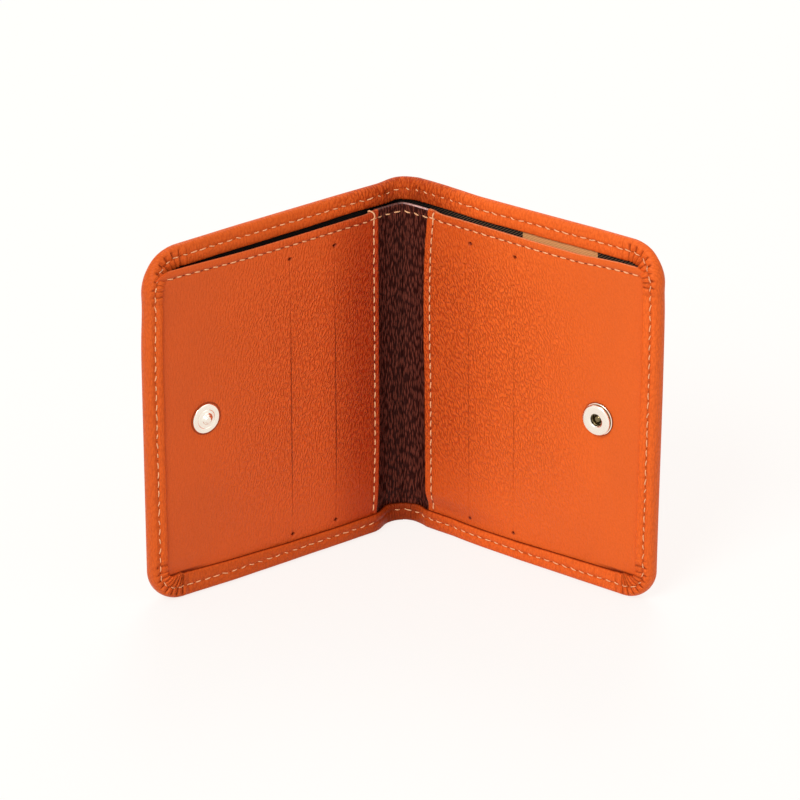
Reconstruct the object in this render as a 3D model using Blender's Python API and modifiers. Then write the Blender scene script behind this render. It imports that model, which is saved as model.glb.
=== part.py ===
"""Bifold card wallet, standing open on its bottom edge.

The outer leather folds at two upright creases, one on each side of a narrow arched
spine. Each half is a cover with a turned hem round a stack of thin layers: board, note
lining, divider, slot linings and card panel. A snap stud sits in the left card panel
and a snap socket in the right one.

Metres, +Z up. The origin is under the middle of the wallet's box, on the surface it
stands on. The spine is at the back, towards +Y, and the card panels face -Y.
"""

import math

import bmesh
import bpy
from mathutils import Vector

MM = 0.001

# Overall size
HEIGHT = 109.8 * MM
HALF_WIDTH = 83.3 * MM
FOLD_ANGLE = math.radians(35.95)
CLOSED_GAP = 1.0 * MM

# Layers of one half, from the outside in
LEATHER = 1.0 * MM
LAYER_GAP = 0.1 * MM
BOARD = 0.5 * MM
NOTE_LINING = 0.25 * MM
NOTE_ROOM = 0.65 * MM
DIVIDER = 0.3 * MM
SLOT_LINING = 0.2 * MM
CARD_ROOM = 0.7 * MM
PANEL = 0.8 * MM
HEM_LIP = 0.7 * MM
TOP_LIP = 0.8 * MM
STRIP = 0.7 * MM

# Hems of the cover
TOP_CORNER = 11.5 * MM
BOTTOM_CORNER = 9.5 * MM
EDGE_ROUND = 1.7 * MM
TOP_CHAMFER = 1.0 * MM
RAMP_INSET = 1.0 * MM
RAMP_START = 0.5 * MM
SIDE_HEM = 5.0 * MM
BOTTOM_HEM = 6.2 * MM
TOP_HEM = 6.6 * MM
HEM_CORNER = 5.0 * MM
POCKET_CORNER = 3.5 * MM

# Card panels
PANEL_START = 5.0 * MM
PANEL_TOP_DROP = 7.5 * MM
SLIT_PLACES = (20.0 * MM, 35.1 * MM)
SLIT_WIDTH = 0.3 * MM
SLIT_FOOT = 8.5 * MM
SLIT_HEAD = 6.7 * MM
STOP_HOLE_RADIUS = 0.55 * MM
SLOT_LINING_START = 11.4 * MM

# Spine
SPINE_RISE = 2.3 * MM
SPINE_LIP = 0.6 * MM
CREASE_GAP = 0.1 * MM
MITRE_ANGLE = math.radians(65.0)
SPINE_STRIP_HALF = 1.7 * MM
SPINE_STRIP_THICK = 0.6 * MM
SPINE_STRIP_LEAN = 1.6 * MM
SPINE_STRIP_GAP = 0.2 * MM
WING_REACH = 0.6 * MM
WING_OVERLAP = 6.0 * MM
WING_FOOT_GAP = 0.6 * MM

# Seams
THREAD_RADIUS = 0.25 * MM
GROOVE_RADIUS = 0.4 * MM
THREAD_PROUD = 0.08 * MM
SIDE_SEAM = 2.3 * MM
TOP_SEAM = 3.2 * MM
BOTTOM_SEAM = 3.9 * MM
PANEL_TOP_SEAM = 2.6 * MM
PANEL_EDGE_SEAM = 2.0 * MM
SEAM_END = 0.5 * MM

# Snap
SNAP_EDGE = 19.2 * MM
SNAP_UP = 54.0 * MM
SNAP_SEAT = 0.1 * MM
SNAP_FACE_GAP = 0.3 * MM
SNAP_RUN = 0.2 * MM
STUD_RADIUS = 4.5 * MM
STUD_RIM = 0.35 * MM
STUD_FLANGE = 0.7 * MM
STUD_RING_RADIUS = 2.9 * MM
STUD_WELL_RADIUS = 2.3 * MM
POST_RADIUS = 1.6 * MM
POST_NECK_RADIUS = 1.35 * MM
POST_ENGAGE = 1.0 * MM
POST_CHAMFER = 0.3 * MM
POST_DIMPLE_RADIUS = 0.8 * MM
POST_DIMPLE = 0.25 * MM
SOCKET_RADIUS = 4.7 * MM
SOCKET_RIM = 0.35 * MM
SOCKET_BODY_RADIUS = 4.2 * MM
SOCKET_ROUND = 0.5 * MM
SOCKET_FLOOR = 0.25 * MM
SPRING_WIRE_RADIUS = 0.2 * MM
SPRING_ROOM = 0.15 * MM
SPRING_OPENING = math.radians(50.0)
CAP_RADIUS = 4.0 * MM
CAP_THICK = 0.45 * MM
CAP_ROUND = 0.2 * MM
RIVET_RADIUS = 0.9 * MM
RIVET_HOLE_RADIUS = 1.2 * MM
RIVET_REACH = 0.3 * MM

# Working values
OVERRUN = 10.0 * MM
WELD = 0.0001 * MM
FLAT_ANGLE = math.radians(0.5)
SMOOTH_ANGLE = math.radians(35.0)
CORNER_STEPS = 6
ROUND_STEPS = 4
ARC_STEPS = 12
EDGE_STEPS = 3
TURN_STEPS = 24
THREAD_SIDES = 1
HOLE_SIDES = 12
RING_STEPS = 96
EDGE_ANGLE = math.radians(60.0)

# Depths below the outer face, worked out from the layers
AXIS_DEPTH = LEATHER / 2
BOARD_AT = LEATHER + LAYER_GAP
NOTE_LINING_AT = BOARD_AT + BOARD + LAYER_GAP
TOP_LIP_AT = NOTE_LINING_AT + NOTE_LINING + LAYER_GAP
TOP_THICK = TOP_LIP_AT + TOP_LIP
DIVIDER_AT = NOTE_LINING_AT + NOTE_LINING + NOTE_ROOM
INNER_LINING_AT = DIVIDER_AT + DIVIDER + LAYER_GAP
OUTER_LINING_AT = INNER_LINING_AT + SLOT_LINING + LAYER_GAP
PANEL_AT = OUTER_LINING_AT + SLOT_LINING + CARD_ROOM
PANEL_FACE = PANEL_AT + PANEL
HEM_LIP_AT = PANEL_FACE + LAYER_GAP
HALF_THICK = HEM_LIP_AT + HEM_LIP
STRIP_AT = PANEL_AT - LAYER_GAP - STRIP

# Places worked out from the sizes
CREASE_SPACING = 2 * (HALF_THICK - AXIS_DEPTH) + CLOSED_GAP
CREASE_OUT = CREASE_SPACING / 2
LAYER_INSET = LEATHER + LAYER_GAP
PANEL_TOP = HEIGHT - PANEL_TOP_DROP
TOP_HEM_EDGE = HEIGHT - TOP_HEM
SLIT_TOP = PANEL_TOP - SLIT_HEAD
SNAP_OUT = HALF_WIDTH - SNAP_EDGE
SPINE_RADIUS = (CREASE_OUT**2 + SPINE_RISE**2) / (2 * SPINE_RISE)
SPINE_OUTER = SPINE_RADIUS + AXIS_DEPTH
SPINE_CENTRE = SPINE_RISE - SPINE_RADIUS
SPINE_POCKET = SPINE_STRIP_THICK + 2 * SPINE_STRIP_GAP + NOTE_LINING + LAYER_GAP
SPINE_THICK = LEATHER + SPINE_POCKET + SPINE_LIP
CREASE_TURN = math.asin(CREASE_OUT / SPINE_RADIUS)

PANEL_FACE_RIVET = RIVET_REACH + SNAP_SEAT
FACE_ROOM = CLOSED_GAP + 2 * (HALF_THICK - PANEL_FACE)
SOCKET_HEIGHT = FACE_ROOM - 2 * SNAP_SEAT - STUD_FLANGE - SNAP_FACE_GAP
SPRING_RING_RADIUS = POST_RADIUS + SNAP_RUN / 2 + SPRING_WIRE_RADIUS
SPRING_HEIGHT = SOCKET_HEIGHT / 2 + SPRING_ROOM

BACK = SPINE_RISE + AXIS_DEPTH
FRONT = (
    math.sin(FOLD_ANGLE) * (HALF_WIDTH - EDGE_ROUND)
    + math.cos(FOLD_ANGLE) * (HALF_THICK - AXIS_DEPTH - EDGE_ROUND)
    + EDGE_ROUND
)
CREASE_Y = (FRONT - BACK) / 2

ORANGE = (0.62, 0.095, 0.022)
BROWN = (0.045, 0.011, 0.007)
TWILL = (0.020, 0.016, 0.014)
BOARD_GREY = (0.30, 0.24, 0.18)
CREAM = (0.85, 0.58, 0.32)
PALE_METAL = (0.80, 0.74, 0.62)
SPRING_STEEL = (0.35, 0.33, 0.28)


def clear_scene():
    for old in list(bpy.data.objects):
        bpy.data.objects.remove(old)


def new_collection(name):
    group = bpy.data.collections.new(name)
    bpy.context.scene.collection.children.link(group)
    return group


def material(name, colour, roughness, metallic=0.0):
    made = bpy.data.materials.new(name)
    made.use_nodes = True
    shader = made.node_tree.nodes["Principled BSDF"]
    shader.inputs["Base Color"].default_value = (*colour, 1.0)
    shader.inputs["Roughness"].default_value = roughness
    shader.inputs["Metallic"].default_value = metallic
    return made


def place(obj, group, parent):
    group.objects.link(obj)
    obj.parent = parent
    return obj


def finish_part(obj, look):
    """Give a part its material and smooth round surfaces with sharp edges."""
    obj.data.materials.clear()
    obj.data.materials.append(look)
    obj.data.shade_smooth()
    obj.data.set_sharp_from_angle(angle=SMOOTH_ANGLE)
    return obj


def make_cutter(obj):
    obj.hide_render = True
    obj.display_type = "WIRE"
    return obj


def empty(name, group, location, rotation=(0, 0, 0)):
    guide = bpy.data.objects.new(name, None)
    group.objects.link(guide)
    guide.location = location
    guide.rotation_euler = rotation
    return guide


def rounded_outline(corners):
    """Points of an outline, each corner (x, y, radius) rounded with an arc."""
    points = []
    count = len(corners)
    for i, (x, y, radius) in enumerate(corners):
        here = Vector((x, y))
        if radius == 0:
            points.append(here)
            continue
        before = (Vector(corners[i - 1][:2]) - here).normalized()
        after = (Vector(corners[(i + 1) % count][:2]) - here).normalized()
        half = before.angle(after) / 2
        centre = here + (before + after).normalized() * (radius / math.sin(half))
        start = here + before * (radius / math.tan(half)) - centre
        sweep = start.angle_signed(here + after * (radius / math.tan(half)) - centre)
        for step in range(CORNER_STEPS + 1):
            turn = -sweep * step / CORNER_STEPS
            cos, sin = math.cos(turn), math.sin(turn)
            turned = Vector((start.x * cos - start.y * sin, start.x * sin + start.y * cos))
            points.append(centre + turned)
    return points


def mesh_from_curve(name, curve, group, parent):
    """Turn a curve into a closed mesh object under the same parent."""
    source = bpy.data.objects.new(name + "_curve", curve)
    bpy.context.scene.collection.objects.link(source)
    depsgraph = bpy.context.evaluated_depsgraph_get()
    made = bpy.data.meshes.new_from_object(source.evaluated_get(depsgraph))
    curve_place = source.matrix_world.copy()
    bpy.data.objects.remove(source)
    work = bmesh.new()
    work.from_mesh(made)
    bmesh.ops.remove_doubles(work, verts=work.verts, dist=WELD)
    bmesh.ops.dissolve_limit(work, angle_limit=FLAT_ANGLE, verts=work.verts, edges=work.edges)
    bmesh.ops.recalc_face_normals(work, faces=work.faces)
    work.to_mesh(made)
    work.free()
    solid = bpy.data.objects.new(name, made)
    solid.matrix_world = curve_place
    return place(solid, group, parent)


def plate(name, points, low, high, group, parent):
    """A flat outline in the parent's XY plane, from low to high along its Z."""
    curve = bpy.data.curves.new(name, "CURVE")
    curve.dimensions = "2D"
    curve.fill_mode = "BOTH"
    curve.extrude = (high - low) / 2
    spline = curve.splines.new("POLY")
    spline.points.add(len(points) - 1)
    for spot, point in zip(spline.points, points):
        spot.co = (point[0], point[1], 0, 1)
    spline.use_cyclic_u = True
    solid = mesh_from_curve(name, curve, group, parent)
    solid.location.z = (low + high) / 2
    return solid


def tube(name, points, radius, group, parent):
    """A round tube along open points, closed at both ends."""
    curve = bpy.data.curves.new(name, "CURVE")
    curve.dimensions = "3D"
    curve.bevel_depth = radius
    curve.bevel_resolution = THREAD_SIDES
    curve.use_fill_caps = True
    spline = curve.splines.new("POLY")
    spline.points.add(len(points) - 1)
    for spot, point in zip(spline.points, points):
        spot.co = (*point, 1)
    return mesh_from_curve(name, curve, group, parent)


def turned(name, profile, group, parent, location):
    """A turned piece: profile points (radius, height) swept round the parent's Z."""
    shape = bpy.data.meshes.new(name)
    count = len(profile)
    closed = min(radius for radius, height in profile) > 0
    edges = [(i, i + 1) for i in range(count - 1)]
    if closed:
        edges.append((count - 1, 0))
    shape.from_pydata([(radius, 0, height) for radius, height in profile], edges, [])
    solid = bpy.data.objects.new(name, shape)
    place(solid, group, parent)
    solid.location = location
    screw = solid.modifiers.new("turn", "SCREW")
    screw.axis = "Z"
    screw.steps = TURN_STEPS
    screw.render_steps = TURN_STEPS
    screw.use_merge_vertices = True
    screw.merge_threshold = WELD
    screw.use_smooth_shade = True
    return solid


def cut(target, cutters):
    for cutter in cutters:
        boolean = target.modifiers.new(cutter.name, "BOOLEAN")
        boolean.operation = "DIFFERENCE"
        boolean.solver = "EXACT"
        boolean.object = cutter


def seam(name, points, parts, cutters, parent, carriers):
    """A thread half sunk in the surface it runs on, in a groove cut for it."""
    groove = make_cutter(tube(name + "_groove", points, GROOVE_RADIUS, cutters, parent))
    for carrier in carriers:
        cut(carrier, [groove])
    return finish_part(tube(name, points, THREAD_RADIUS, parts, parent), LOOKS["thread"])


def mitre(depth):
    """How far out from its crease axis a layer starts, to clear the spine when closed."""
    return max(depth - AXIS_DEPTH, 0) / math.tan(MITRE_ANGLE) + CREASE_GAP


class Half:
    """One half of the wallet, in a frame on its crease axis.

    The frame's X runs along the panel, Y is up and Z points from the outer face in.
    side is 1 for the right half and -1 for the left one.
    """

    def __init__(self, name, side, parts, cutters):
        self.name = name
        self.side = side
        self.parts = parts
        self.cutters = cutters
        self.frame = empty(
            name + "_fold",
            parts,
            (side * CREASE_OUT, CREASE_Y, 0),
            (math.pi / 2, 0, -side * FOLD_ANGLE),
        )

    def sheet(self, name, corners, depth, end, group):
        """A flat piece between two depths, its corners given as (out, up, radius)."""
        points = [(self.side * point.x, point.y) for point in rounded_outline(corners)]
        low, high = depth - AXIS_DEPTH, end - AXIS_DEPTH
        return plate(self.name + name, points, low, high, group, self.frame)

    def layer(self, name, corners, depth, thickness, look):
        solid = self.sheet(name, corners, depth, depth + thickness, self.parts)
        return finish_part(solid, LOOKS[look])

    def cutter(self, name, corners, depth, end):
        return make_cutter(self.sheet(name, corners, depth, end, self.cutters))

    def point(self, out, up, depth):
        return (self.side * out, up, depth - AXIS_DEPTH)

    def across(self, name, profile):
        """A cutter with a profile in (up, depth), run across the whole half."""
        points = [(up, depth - AXIS_DEPTH) for up, depth in profile]
        reach = HALF_WIDTH + OVERRUN
        solid = plate(self.name + name, points, -reach, reach, self.cutters, self.frame)
        solid.rotation_euler = (math.pi / 2, 0, math.pi / 2)
        return make_cutter(solid)

    def upright(self, name, profile):
        """A cutter with a profile in (out, height above the axis), run the whole height."""
        points = [(self.side * out, rise) for out, rise in profile]
        reach = HEIGHT + OVERRUN
        solid = plate(self.name + name, points, -reach, reach, self.cutters, self.frame)
        solid.rotation_euler = (math.pi / 2, 0, 0)
        return make_cutter(solid)

    def crease_cutter(self):
        """Leaves a round edge on the axis for the leather, and a mitre inside it."""
        edge = []
        for step in range(2 * ROUND_STEPS + 1):
            turn = math.pi * step / (2 * ROUND_STEPS)
            edge.append((-AXIS_DEPTH * math.sin(turn), -AXIS_DEPTH * math.cos(turn)))
        far = HALF_THICK + OVERRUN
        profile = [(-2 * OVERRUN, -OVERRUN), (0, -OVERRUN), *edge]
        ledge = LEATHER + LAYER_GAP / 2
        profile += [(0, ledge - AXIS_DEPTH), (mitre(ledge), ledge - AXIS_DEPTH)]
        profile += [(mitre(far), far - AXIS_DEPTH)]
        profile += [(-2 * OVERRUN, far - AXIS_DEPTH)]
        return self.upright("_crease_cut", profile)

    def cover(self):
        """The outer leather with its edges turned in to a hem on three sides."""
        outline = [
            (-OVERRUN, 0, 0),
            (HALF_WIDTH, 0, BOTTOM_CORNER),
            (HALF_WIDTH, HEIGHT, TOP_CORNER),
            (-OVERRUN, HEIGHT, 0),
        ]
        solid = self.layer("_cover", outline, 0, HALF_THICK, "leather")
        bevel = solid.modifiers.new("rolled_edge", "BEVEL")
        bevel.width = EDGE_ROUND
        bevel.segments = EDGE_STEPS
        bevel.limit_method = "ANGLE"
        bevel.angle_limit = EDGE_ANGLE
        pocket = inset_outline(LEATHER, HEIGHT - LEATHER, TOP_CORNER - LEATHER)
        stack = inset_outline(LAYER_INSET, TOP_HEM_EDGE, POCKET_CORNER)
        hem_side = HALF_WIDTH - SIDE_HEM
        window = [
            (-OVERRUN, BOTTOM_HEM, 0),
            (hem_side, BOTTOM_HEM, HEM_CORNER),
            (hem_side, TOP_HEM_EDGE, 0),
            (-OVERRUN, TOP_HEM_EDGE, 0),
        ]
        rim = [
            (-OVERRUN, PANEL_TOP, 0),
            (hem_side - RAMP_INSET, PANEL_TOP, 0),
            (hem_side - RAMP_INSET, HEIGHT + OVERRUN, 0),
            (-OVERRUN, HEIGHT + OVERRUN, 0),
        ]
        slope = (HALF_THICK - TOP_THICK + TOP_CHAMFER) / (TOP_HEM - RAMP_START)
        far = HALF_THICK + OVERRUN
        ramp = [
            (TOP_HEM_EDGE + RAMP_START - OVERRUN, HALF_THICK + OVERRUN * slope),
            (HEIGHT + OVERRUN, TOP_THICK - TOP_CHAMFER - OVERRUN * slope),
            (HEIGHT + OVERRUN, far + OVERRUN),
            (TOP_HEM_EDGE + RAMP_START - OVERRUN, far + OVERRUN),
        ]
        cut(
            solid,
            [
                self.cutter("_board_pocket", pocket, LEATHER, TOP_LIP_AT),
                self.cutter("_stack_pocket", stack, NOTE_LINING_AT, HEM_LIP_AT),
                self.cutter("_window", window, BOARD_AT, far),
                self.cutter("_rim_cut", rim, TOP_THICK, far),
                self.across("_ramp_cut", ramp),
                self.crease_cutter(),
            ],
        )
        return solid

    def inner_layers(self):
        inset = LAYER_INSET
        top = HEIGHT - LAYER_INSET
        corner = TOP_CORNER - LAYER_INSET
        end = BOARD_AT + BOARD
        self.layer("_board", layer_outline(mitre(end), inset, top, corner), BOARD_AT, BOARD, "board")
        end = NOTE_LINING_AT + NOTE_LINING
        outline = layer_outline(mitre(end), inset, top, corner)
        self.layer("_note_lining", outline, NOTE_LINING_AT, NOTE_LINING, "twill")
        inset = LAYER_INSET + LAYER_GAP
        end = DIVIDER_AT + DIVIDER
        outline = layer_outline(mitre(end), inset, PANEL_TOP, POCKET_CORNER)
        self.layer("_divider", outline, DIVIDER_AT, DIVIDER, "twill")
        outline = layer_outline(SLOT_LINING_START, inset, PANEL_TOP, POCKET_CORNER)
        self.layer("_inner_slot_lining", outline, INNER_LINING_AT, SLOT_LINING, "twill")
        self.layer("_outer_slot_lining", outline, OUTER_LINING_AT, SLOT_LINING, "twill")

    def strip_wing(self):
        """The part of the dark strip that is sewn under the card panel's inner edge."""
        face = STRIP_AT + STRIP
        foot = LAYER_INSET + LAYER_GAP
        outline = [
            (-WING_REACH, BOTTOM_HEM + WING_FOOT_GAP, 0),
            (mitre(face), BOTTOM_HEM + WING_FOOT_GAP, 0),
            (mitre(face), foot, 0),
            (PANEL_START + WING_OVERLAP, foot, 0),
            (PANEL_START + WING_OVERLAP, PANEL_TOP, 0),
            (-WING_REACH, PANEL_TOP, 0),
        ]
        return self.layer("_strip_wing", outline, STRIP_AT, STRIP, "brown")

    def card_panel(self):
        """Orange leather with two card slits, their stop holes and a rivet hole."""
        inset = LAYER_INSET + LAYER_GAP
        outline = layer_outline(PANEL_START, inset, PANEL_TOP, POCKET_CORNER)
        solid = self.layer("_card_panel", outline, PANEL_AT, PANEL, "leather")
        low, high = PANEL_AT - OVERRUN, PANEL_FACE + OVERRUN
        for count, place_out in enumerate(SLIT_PLACES):
            name = "_slit_%d" % count
            left, right = place_out - SLIT_WIDTH / 2, place_out + SLIT_WIDTH / 2
            slit = [(left, SLIT_FOOT, 0), (right, SLIT_FOOT, 0)]
            slit += [(right, SLIT_TOP, 0), (left, SLIT_TOP, 0)]
            cut(solid, [self.cutter(name, slit, low, high)])
            for up in (SLIT_FOOT, SLIT_TOP):
                hole = self.disc_cutter(name + "_stop", place_out, up, STOP_HOLE_RADIUS)
                cut(solid, [hole])
        cut(solid, [self.disc_cutter("_rivet_hole", SNAP_OUT, SNAP_UP, RIVET_HOLE_RADIUS)])
        return solid

    def disc_cutter(self, name, out, up, radius):
        reach = 2 * OVERRUN
        bpy.ops.mesh.primitive_cylinder_add(vertices=HOLE_SIDES, radius=radius, depth=reach)
        solid = bpy.context.object
        for group in list(solid.users_collection):
            group.objects.unlink(solid)
        solid.name = self.name + name
        place(solid, self.cutters, self.frame)
        solid.location = self.point(out, up, PANEL_AT)
        return make_cutter(solid)

    def seams(self, cover, panel, wing):
        """Threads of the hem and of the card panel, each in its groove."""
        out, up = HALF_WIDTH - SIDE_SEAM, BOTTOM_SEAM
        run = [(mitre(HALF_THICK) + SEAM_END, up, 0), (out, up, BOTTOM_CORNER - BOTTOM_SEAM)]
        run += [(out, PANEL_TOP, 0), (mitre(HALF_THICK) + SEAM_END, PANEL_TOP, 0)]
        face = HALF_THICK + THREAD_PROUD
        path = [self.point(spot.x, spot.y, face) for spot in rounded_outline(run)[:-1]]
        self.sew("_side_hem_thread", path, [cover])
        up = HEIGHT - TOP_SEAM
        start = mitre(TOP_THICK) + SEAM_END
        end = HALF_WIDTH - SIDE_HEM - RAMP_INSET - SEAM_END
        face = TOP_THICK + THREAD_PROUD
        path = [self.point(start, up, face), self.point(end, up, face)]
        self.sew("_top_hem_thread", path, [cover])
        up = PANEL_TOP - PANEL_TOP_SEAM
        step, face = STRIP_AT + STRIP + THREAD_PROUD, PANEL_FACE + THREAD_PROUD
        path = [
            self.point(SEAM_END - WING_REACH, up, step),
            self.point(PANEL_START - SEAM_END, up, step),
            self.point(PANEL_START + SEAM_END, up, face),
            self.point(HALF_WIDTH - SIDE_HEM - SEAM_END, up, face),
        ]
        self.sew("_panel_top_thread", path, [panel, wing])
        out = PANEL_START + PANEL_EDGE_SEAM
        low, high = BOTTOM_HEM + SEAM_END, up - 2 * GROOVE_RADIUS
        path = [self.point(out, low, face), self.point(out, high, face)]
        self.sew("_panel_edge_thread", path, [panel])

    def sew(self, name, path, carriers):
        return seam(self.name + name, path, self.parts, self.cutters, self.frame, carriers)

    def snap_piece(self, name, profile, depth, look="metal"):
        solid = turned(name, profile, self.parts, self.frame, self.point(SNAP_OUT, SNAP_UP, depth))
        return finish_part(solid, LOOKS[look])

    def back_cap(self, name):
        """A rivet whose disc lies behind the card panel and whose pin comes through it."""
        face = -LAYER_GAP
        pin = PANEL + RIVET_REACH
        profile = [
            (0, pin),
            (RIVET_RADIUS, pin),
            (RIVET_RADIUS, face),
            (CAP_RADIUS, face),
            (CAP_RADIUS, face - CAP_THICK + CAP_ROUND),
            (CAP_RADIUS - CAP_ROUND, face - CAP_THICK),
            (0, face - CAP_THICK),
        ]
        return self.snap_piece(name, profile, PANEL_AT)

    def build(self):
        cover = self.cover()
        self.inner_layers()
        wing = self.strip_wing()
        panel = self.card_panel()
        self.seams(cover, panel, wing)
        self.back_cap(self.name + "_snap_cap")


def layer_outline(start, inset, top, corner):
    """Corners of a layer tucked inside the hem, from its start near the crease."""
    out = HALF_WIDTH - inset
    round_foot = BOTTOM_CORNER - inset
    return [(start, inset, 0), (out, inset, round_foot), (out, top, corner), (start, top, 0)]


def inset_outline(inset, top, corner):
    return layer_outline(-OVERRUN, inset, top, corner)


def stud(half):
    """The snap's stud: a flange with a raised ring round a dimpled post."""
    tip = STUD_FLANGE + SNAP_FACE_GAP + POST_ENGAGE
    waist = STUD_FLANGE + SNAP_FACE_GAP
    recess = PANEL_FACE_RIVET
    profile = [
        (0, tip - POST_DIMPLE),
        (POST_DIMPLE_RADIUS, tip),
        (POST_RADIUS - POST_CHAMFER, tip),
        (POST_RADIUS, tip - POST_CHAMFER),
        (POST_RADIUS, tip - 2 * POST_CHAMFER),
        (POST_NECK_RADIUS, waist),
        (POST_NECK_RADIUS, STUD_RIM),
        (STUD_WELL_RADIUS, STUD_RIM),
        (STUD_WELL_RADIUS, STUD_FLANGE),
        (STUD_RING_RADIUS, STUD_FLANGE),
        (STUD_RING_RADIUS + STUD_FLANGE - STUD_RIM, STUD_RIM),
        (STUD_RADIUS, STUD_RIM),
        (STUD_RADIUS, 0),
        (RIVET_HOLE_RADIUS, 0),
        (RIVET_HOLE_RADIUS, recess),
        (0, recess),
    ]
    return half.snap_piece("snap_stud", profile, PANEL_FACE + SNAP_SEAT)


def socket(half):
    """The snap's socket: a ring with a groove inside that holds the spring."""
    height = SOCKET_HEIGHT
    bore = POST_RADIUS + SNAP_RUN
    groove = SPRING_RING_RADIUS + SPRING_WIRE_RADIUS + SPRING_ROOM
    roof = SPRING_HEIGHT + SPRING_WIRE_RADIUS + SPRING_ROOM
    floor = SPRING_HEIGHT - SPRING_WIRE_RADIUS - SPRING_ROOM
    profile = [
        (SOCKET_BODY_RADIUS - SOCKET_ROUND, height),
        (SOCKET_BODY_RADIUS, height - SOCKET_ROUND),
        (SOCKET_BODY_RADIUS, SOCKET_RIM),
        (SOCKET_RADIUS, SOCKET_RIM),
        (SOCKET_RADIUS, 0),
        (RIVET_HOLE_RADIUS, 0),
        (RIVET_HOLE_RADIUS, SOCKET_FLOOR),
        (bore, floor),
        (groove, floor),
        (groove, roof),
        (bore, roof),
        (bore, height),
    ]
    half.snap_piece("snap_socket", profile, PANEL_FACE + SNAP_SEAT)
    turn = (2 * math.pi - SPRING_OPENING) / (2 * TURN_STEPS)
    centre = half.point(SNAP_OUT, SNAP_UP, PANEL_FACE + SNAP_SEAT + SPRING_HEIGHT)
    path = []
    for step in range(-TURN_STEPS, TURN_STEPS + 1):
        across, up = math.sin(step * turn), math.cos(step * turn)
        spot = Vector((SPRING_RING_RADIUS * across, SPRING_RING_RADIUS * up, 0))
        path.append(Vector(centre) + spot)
    spring = tube("snap_spring", path, SPRING_WIRE_RADIUS, half.parts, half.frame)
    finish_part(spring, LOOKS["spring"])


def arc(radius, start, end):
    """Points round the spine's centre line, from one angle off +Y to another."""
    points = []
    for step in range(ARC_STEPS + 1):
        turn = start + (end - start) * step / ARC_STEPS
        points.append((radius * math.sin(turn), SPINE_CENTRE + radius * math.cos(turn)))
    return points


def spine_turn(depth):
    """How far round the arch a layer of the spine reaches at a depth."""
    radius = SPINE_OUTER - depth
    return CREASE_TURN - math.asin(mitre(depth) / radius)


def arch_band(name, depth, end, low, high, group, parent):
    outer, inner = SPINE_OUTER - depth, SPINE_OUTER - end
    reach, inner_reach = spine_turn(depth), spine_turn(end)
    points = arc(outer, reach, -reach) + arc(inner, -inner_reach, inner_reach)
    return plate(name, points, low, high, group, parent)


def spine_cover(parts, cutters, frame):
    """A ring of the hemmed section, cut down to the arch between the creases."""
    outer, inner = SPINE_OUTER, SPINE_OUTER - SPINE_THICK
    wall, lip = outer - LEATHER, inner + SPINE_LIP
    section = []
    for step in range(EDGE_STEPS + 1):
        turn = math.pi / 2 * step / EDGE_STEPS
        cos, sin = math.cos(turn), math.sin(turn)
        section.append((outer - EDGE_ROUND * (1 - sin), HEIGHT - EDGE_ROUND * (1 - cos)))
    for step in range(EDGE_STEPS + 1):
        turn = math.pi / 2 * step / EDGE_STEPS
        cos, sin = math.cos(turn), math.sin(turn)
        section.append((outer - EDGE_ROUND * (1 - cos), EDGE_ROUND * (1 - sin)))
    section += [
        (inner + TOP_CHAMFER, 0),
        (inner, TOP_CHAMFER),
        (inner, BOTTOM_HEM),
        (lip, BOTTOM_HEM),
        (lip, LEATHER),
        (wall, LEATHER),
        (wall, HEIGHT - LEATHER),
        (lip, HEIGHT - LEATHER),
        (lip, TOP_HEM_EDGE),
        (inner, TOP_HEM_EDGE),
        (inner, HEIGHT - TOP_CHAMFER),
        (inner + TOP_CHAMFER, HEIGHT),
    ]
    solid = turned("spine_cover", section, parts, frame, (0, SPINE_CENTRE, 0))
    solid.modifiers["turn"].steps = RING_STEPS
    solid.modifiers["turn"].render_steps = RING_STEPS
    far = outer + OVERRUN
    end = CREASE_TURN - math.asin((AXIS_DEPTH + CREASE_GAP) / SPINE_RADIUS)
    deep = SPINE_THICK + AXIS_DEPTH
    sin, cos = math.sin(CREASE_TURN), math.cos(CREASE_TURN)
    rise, along = deep - AXIS_DEPTH, mitre(deep)
    inner_end = (CREASE_OUT - along * cos - rise * sin, along * sin - rise * cos)
    side = [(far * math.sin(end), SPINE_CENTRE + far * math.cos(end))]
    side.append(((outer - LEATHER) * math.sin(end), SPINE_CENTRE + (outer - LEATHER) * math.cos(end)))
    side.append(inner_end)
    points = side + [(-x, y) for x, y in reversed(side)]
    keep = make_cutter(plate("spine_keep", points, -OVERRUN, HEIGHT + OVERRUN, cutters, frame))
    boolean = solid.modifiers.new("arch", "BOOLEAN")
    boolean.operation = "INTERSECT"
    boolean.solver = "EXACT"
    boolean.object = keep
    return finish_part(solid, LOOKS["leather"])


def spine_seam(name, depth, up, carrier, parts, cutters, frame):
    reach = spine_turn(depth) - SEAM_END / SPINE_OUTER
    path = [(x, y, up) for x, y in arc(SPINE_OUTER - depth - THREAD_PROUD, -reach, reach)]
    seam(name, path, parts, cutters, frame, [carrier])


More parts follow.
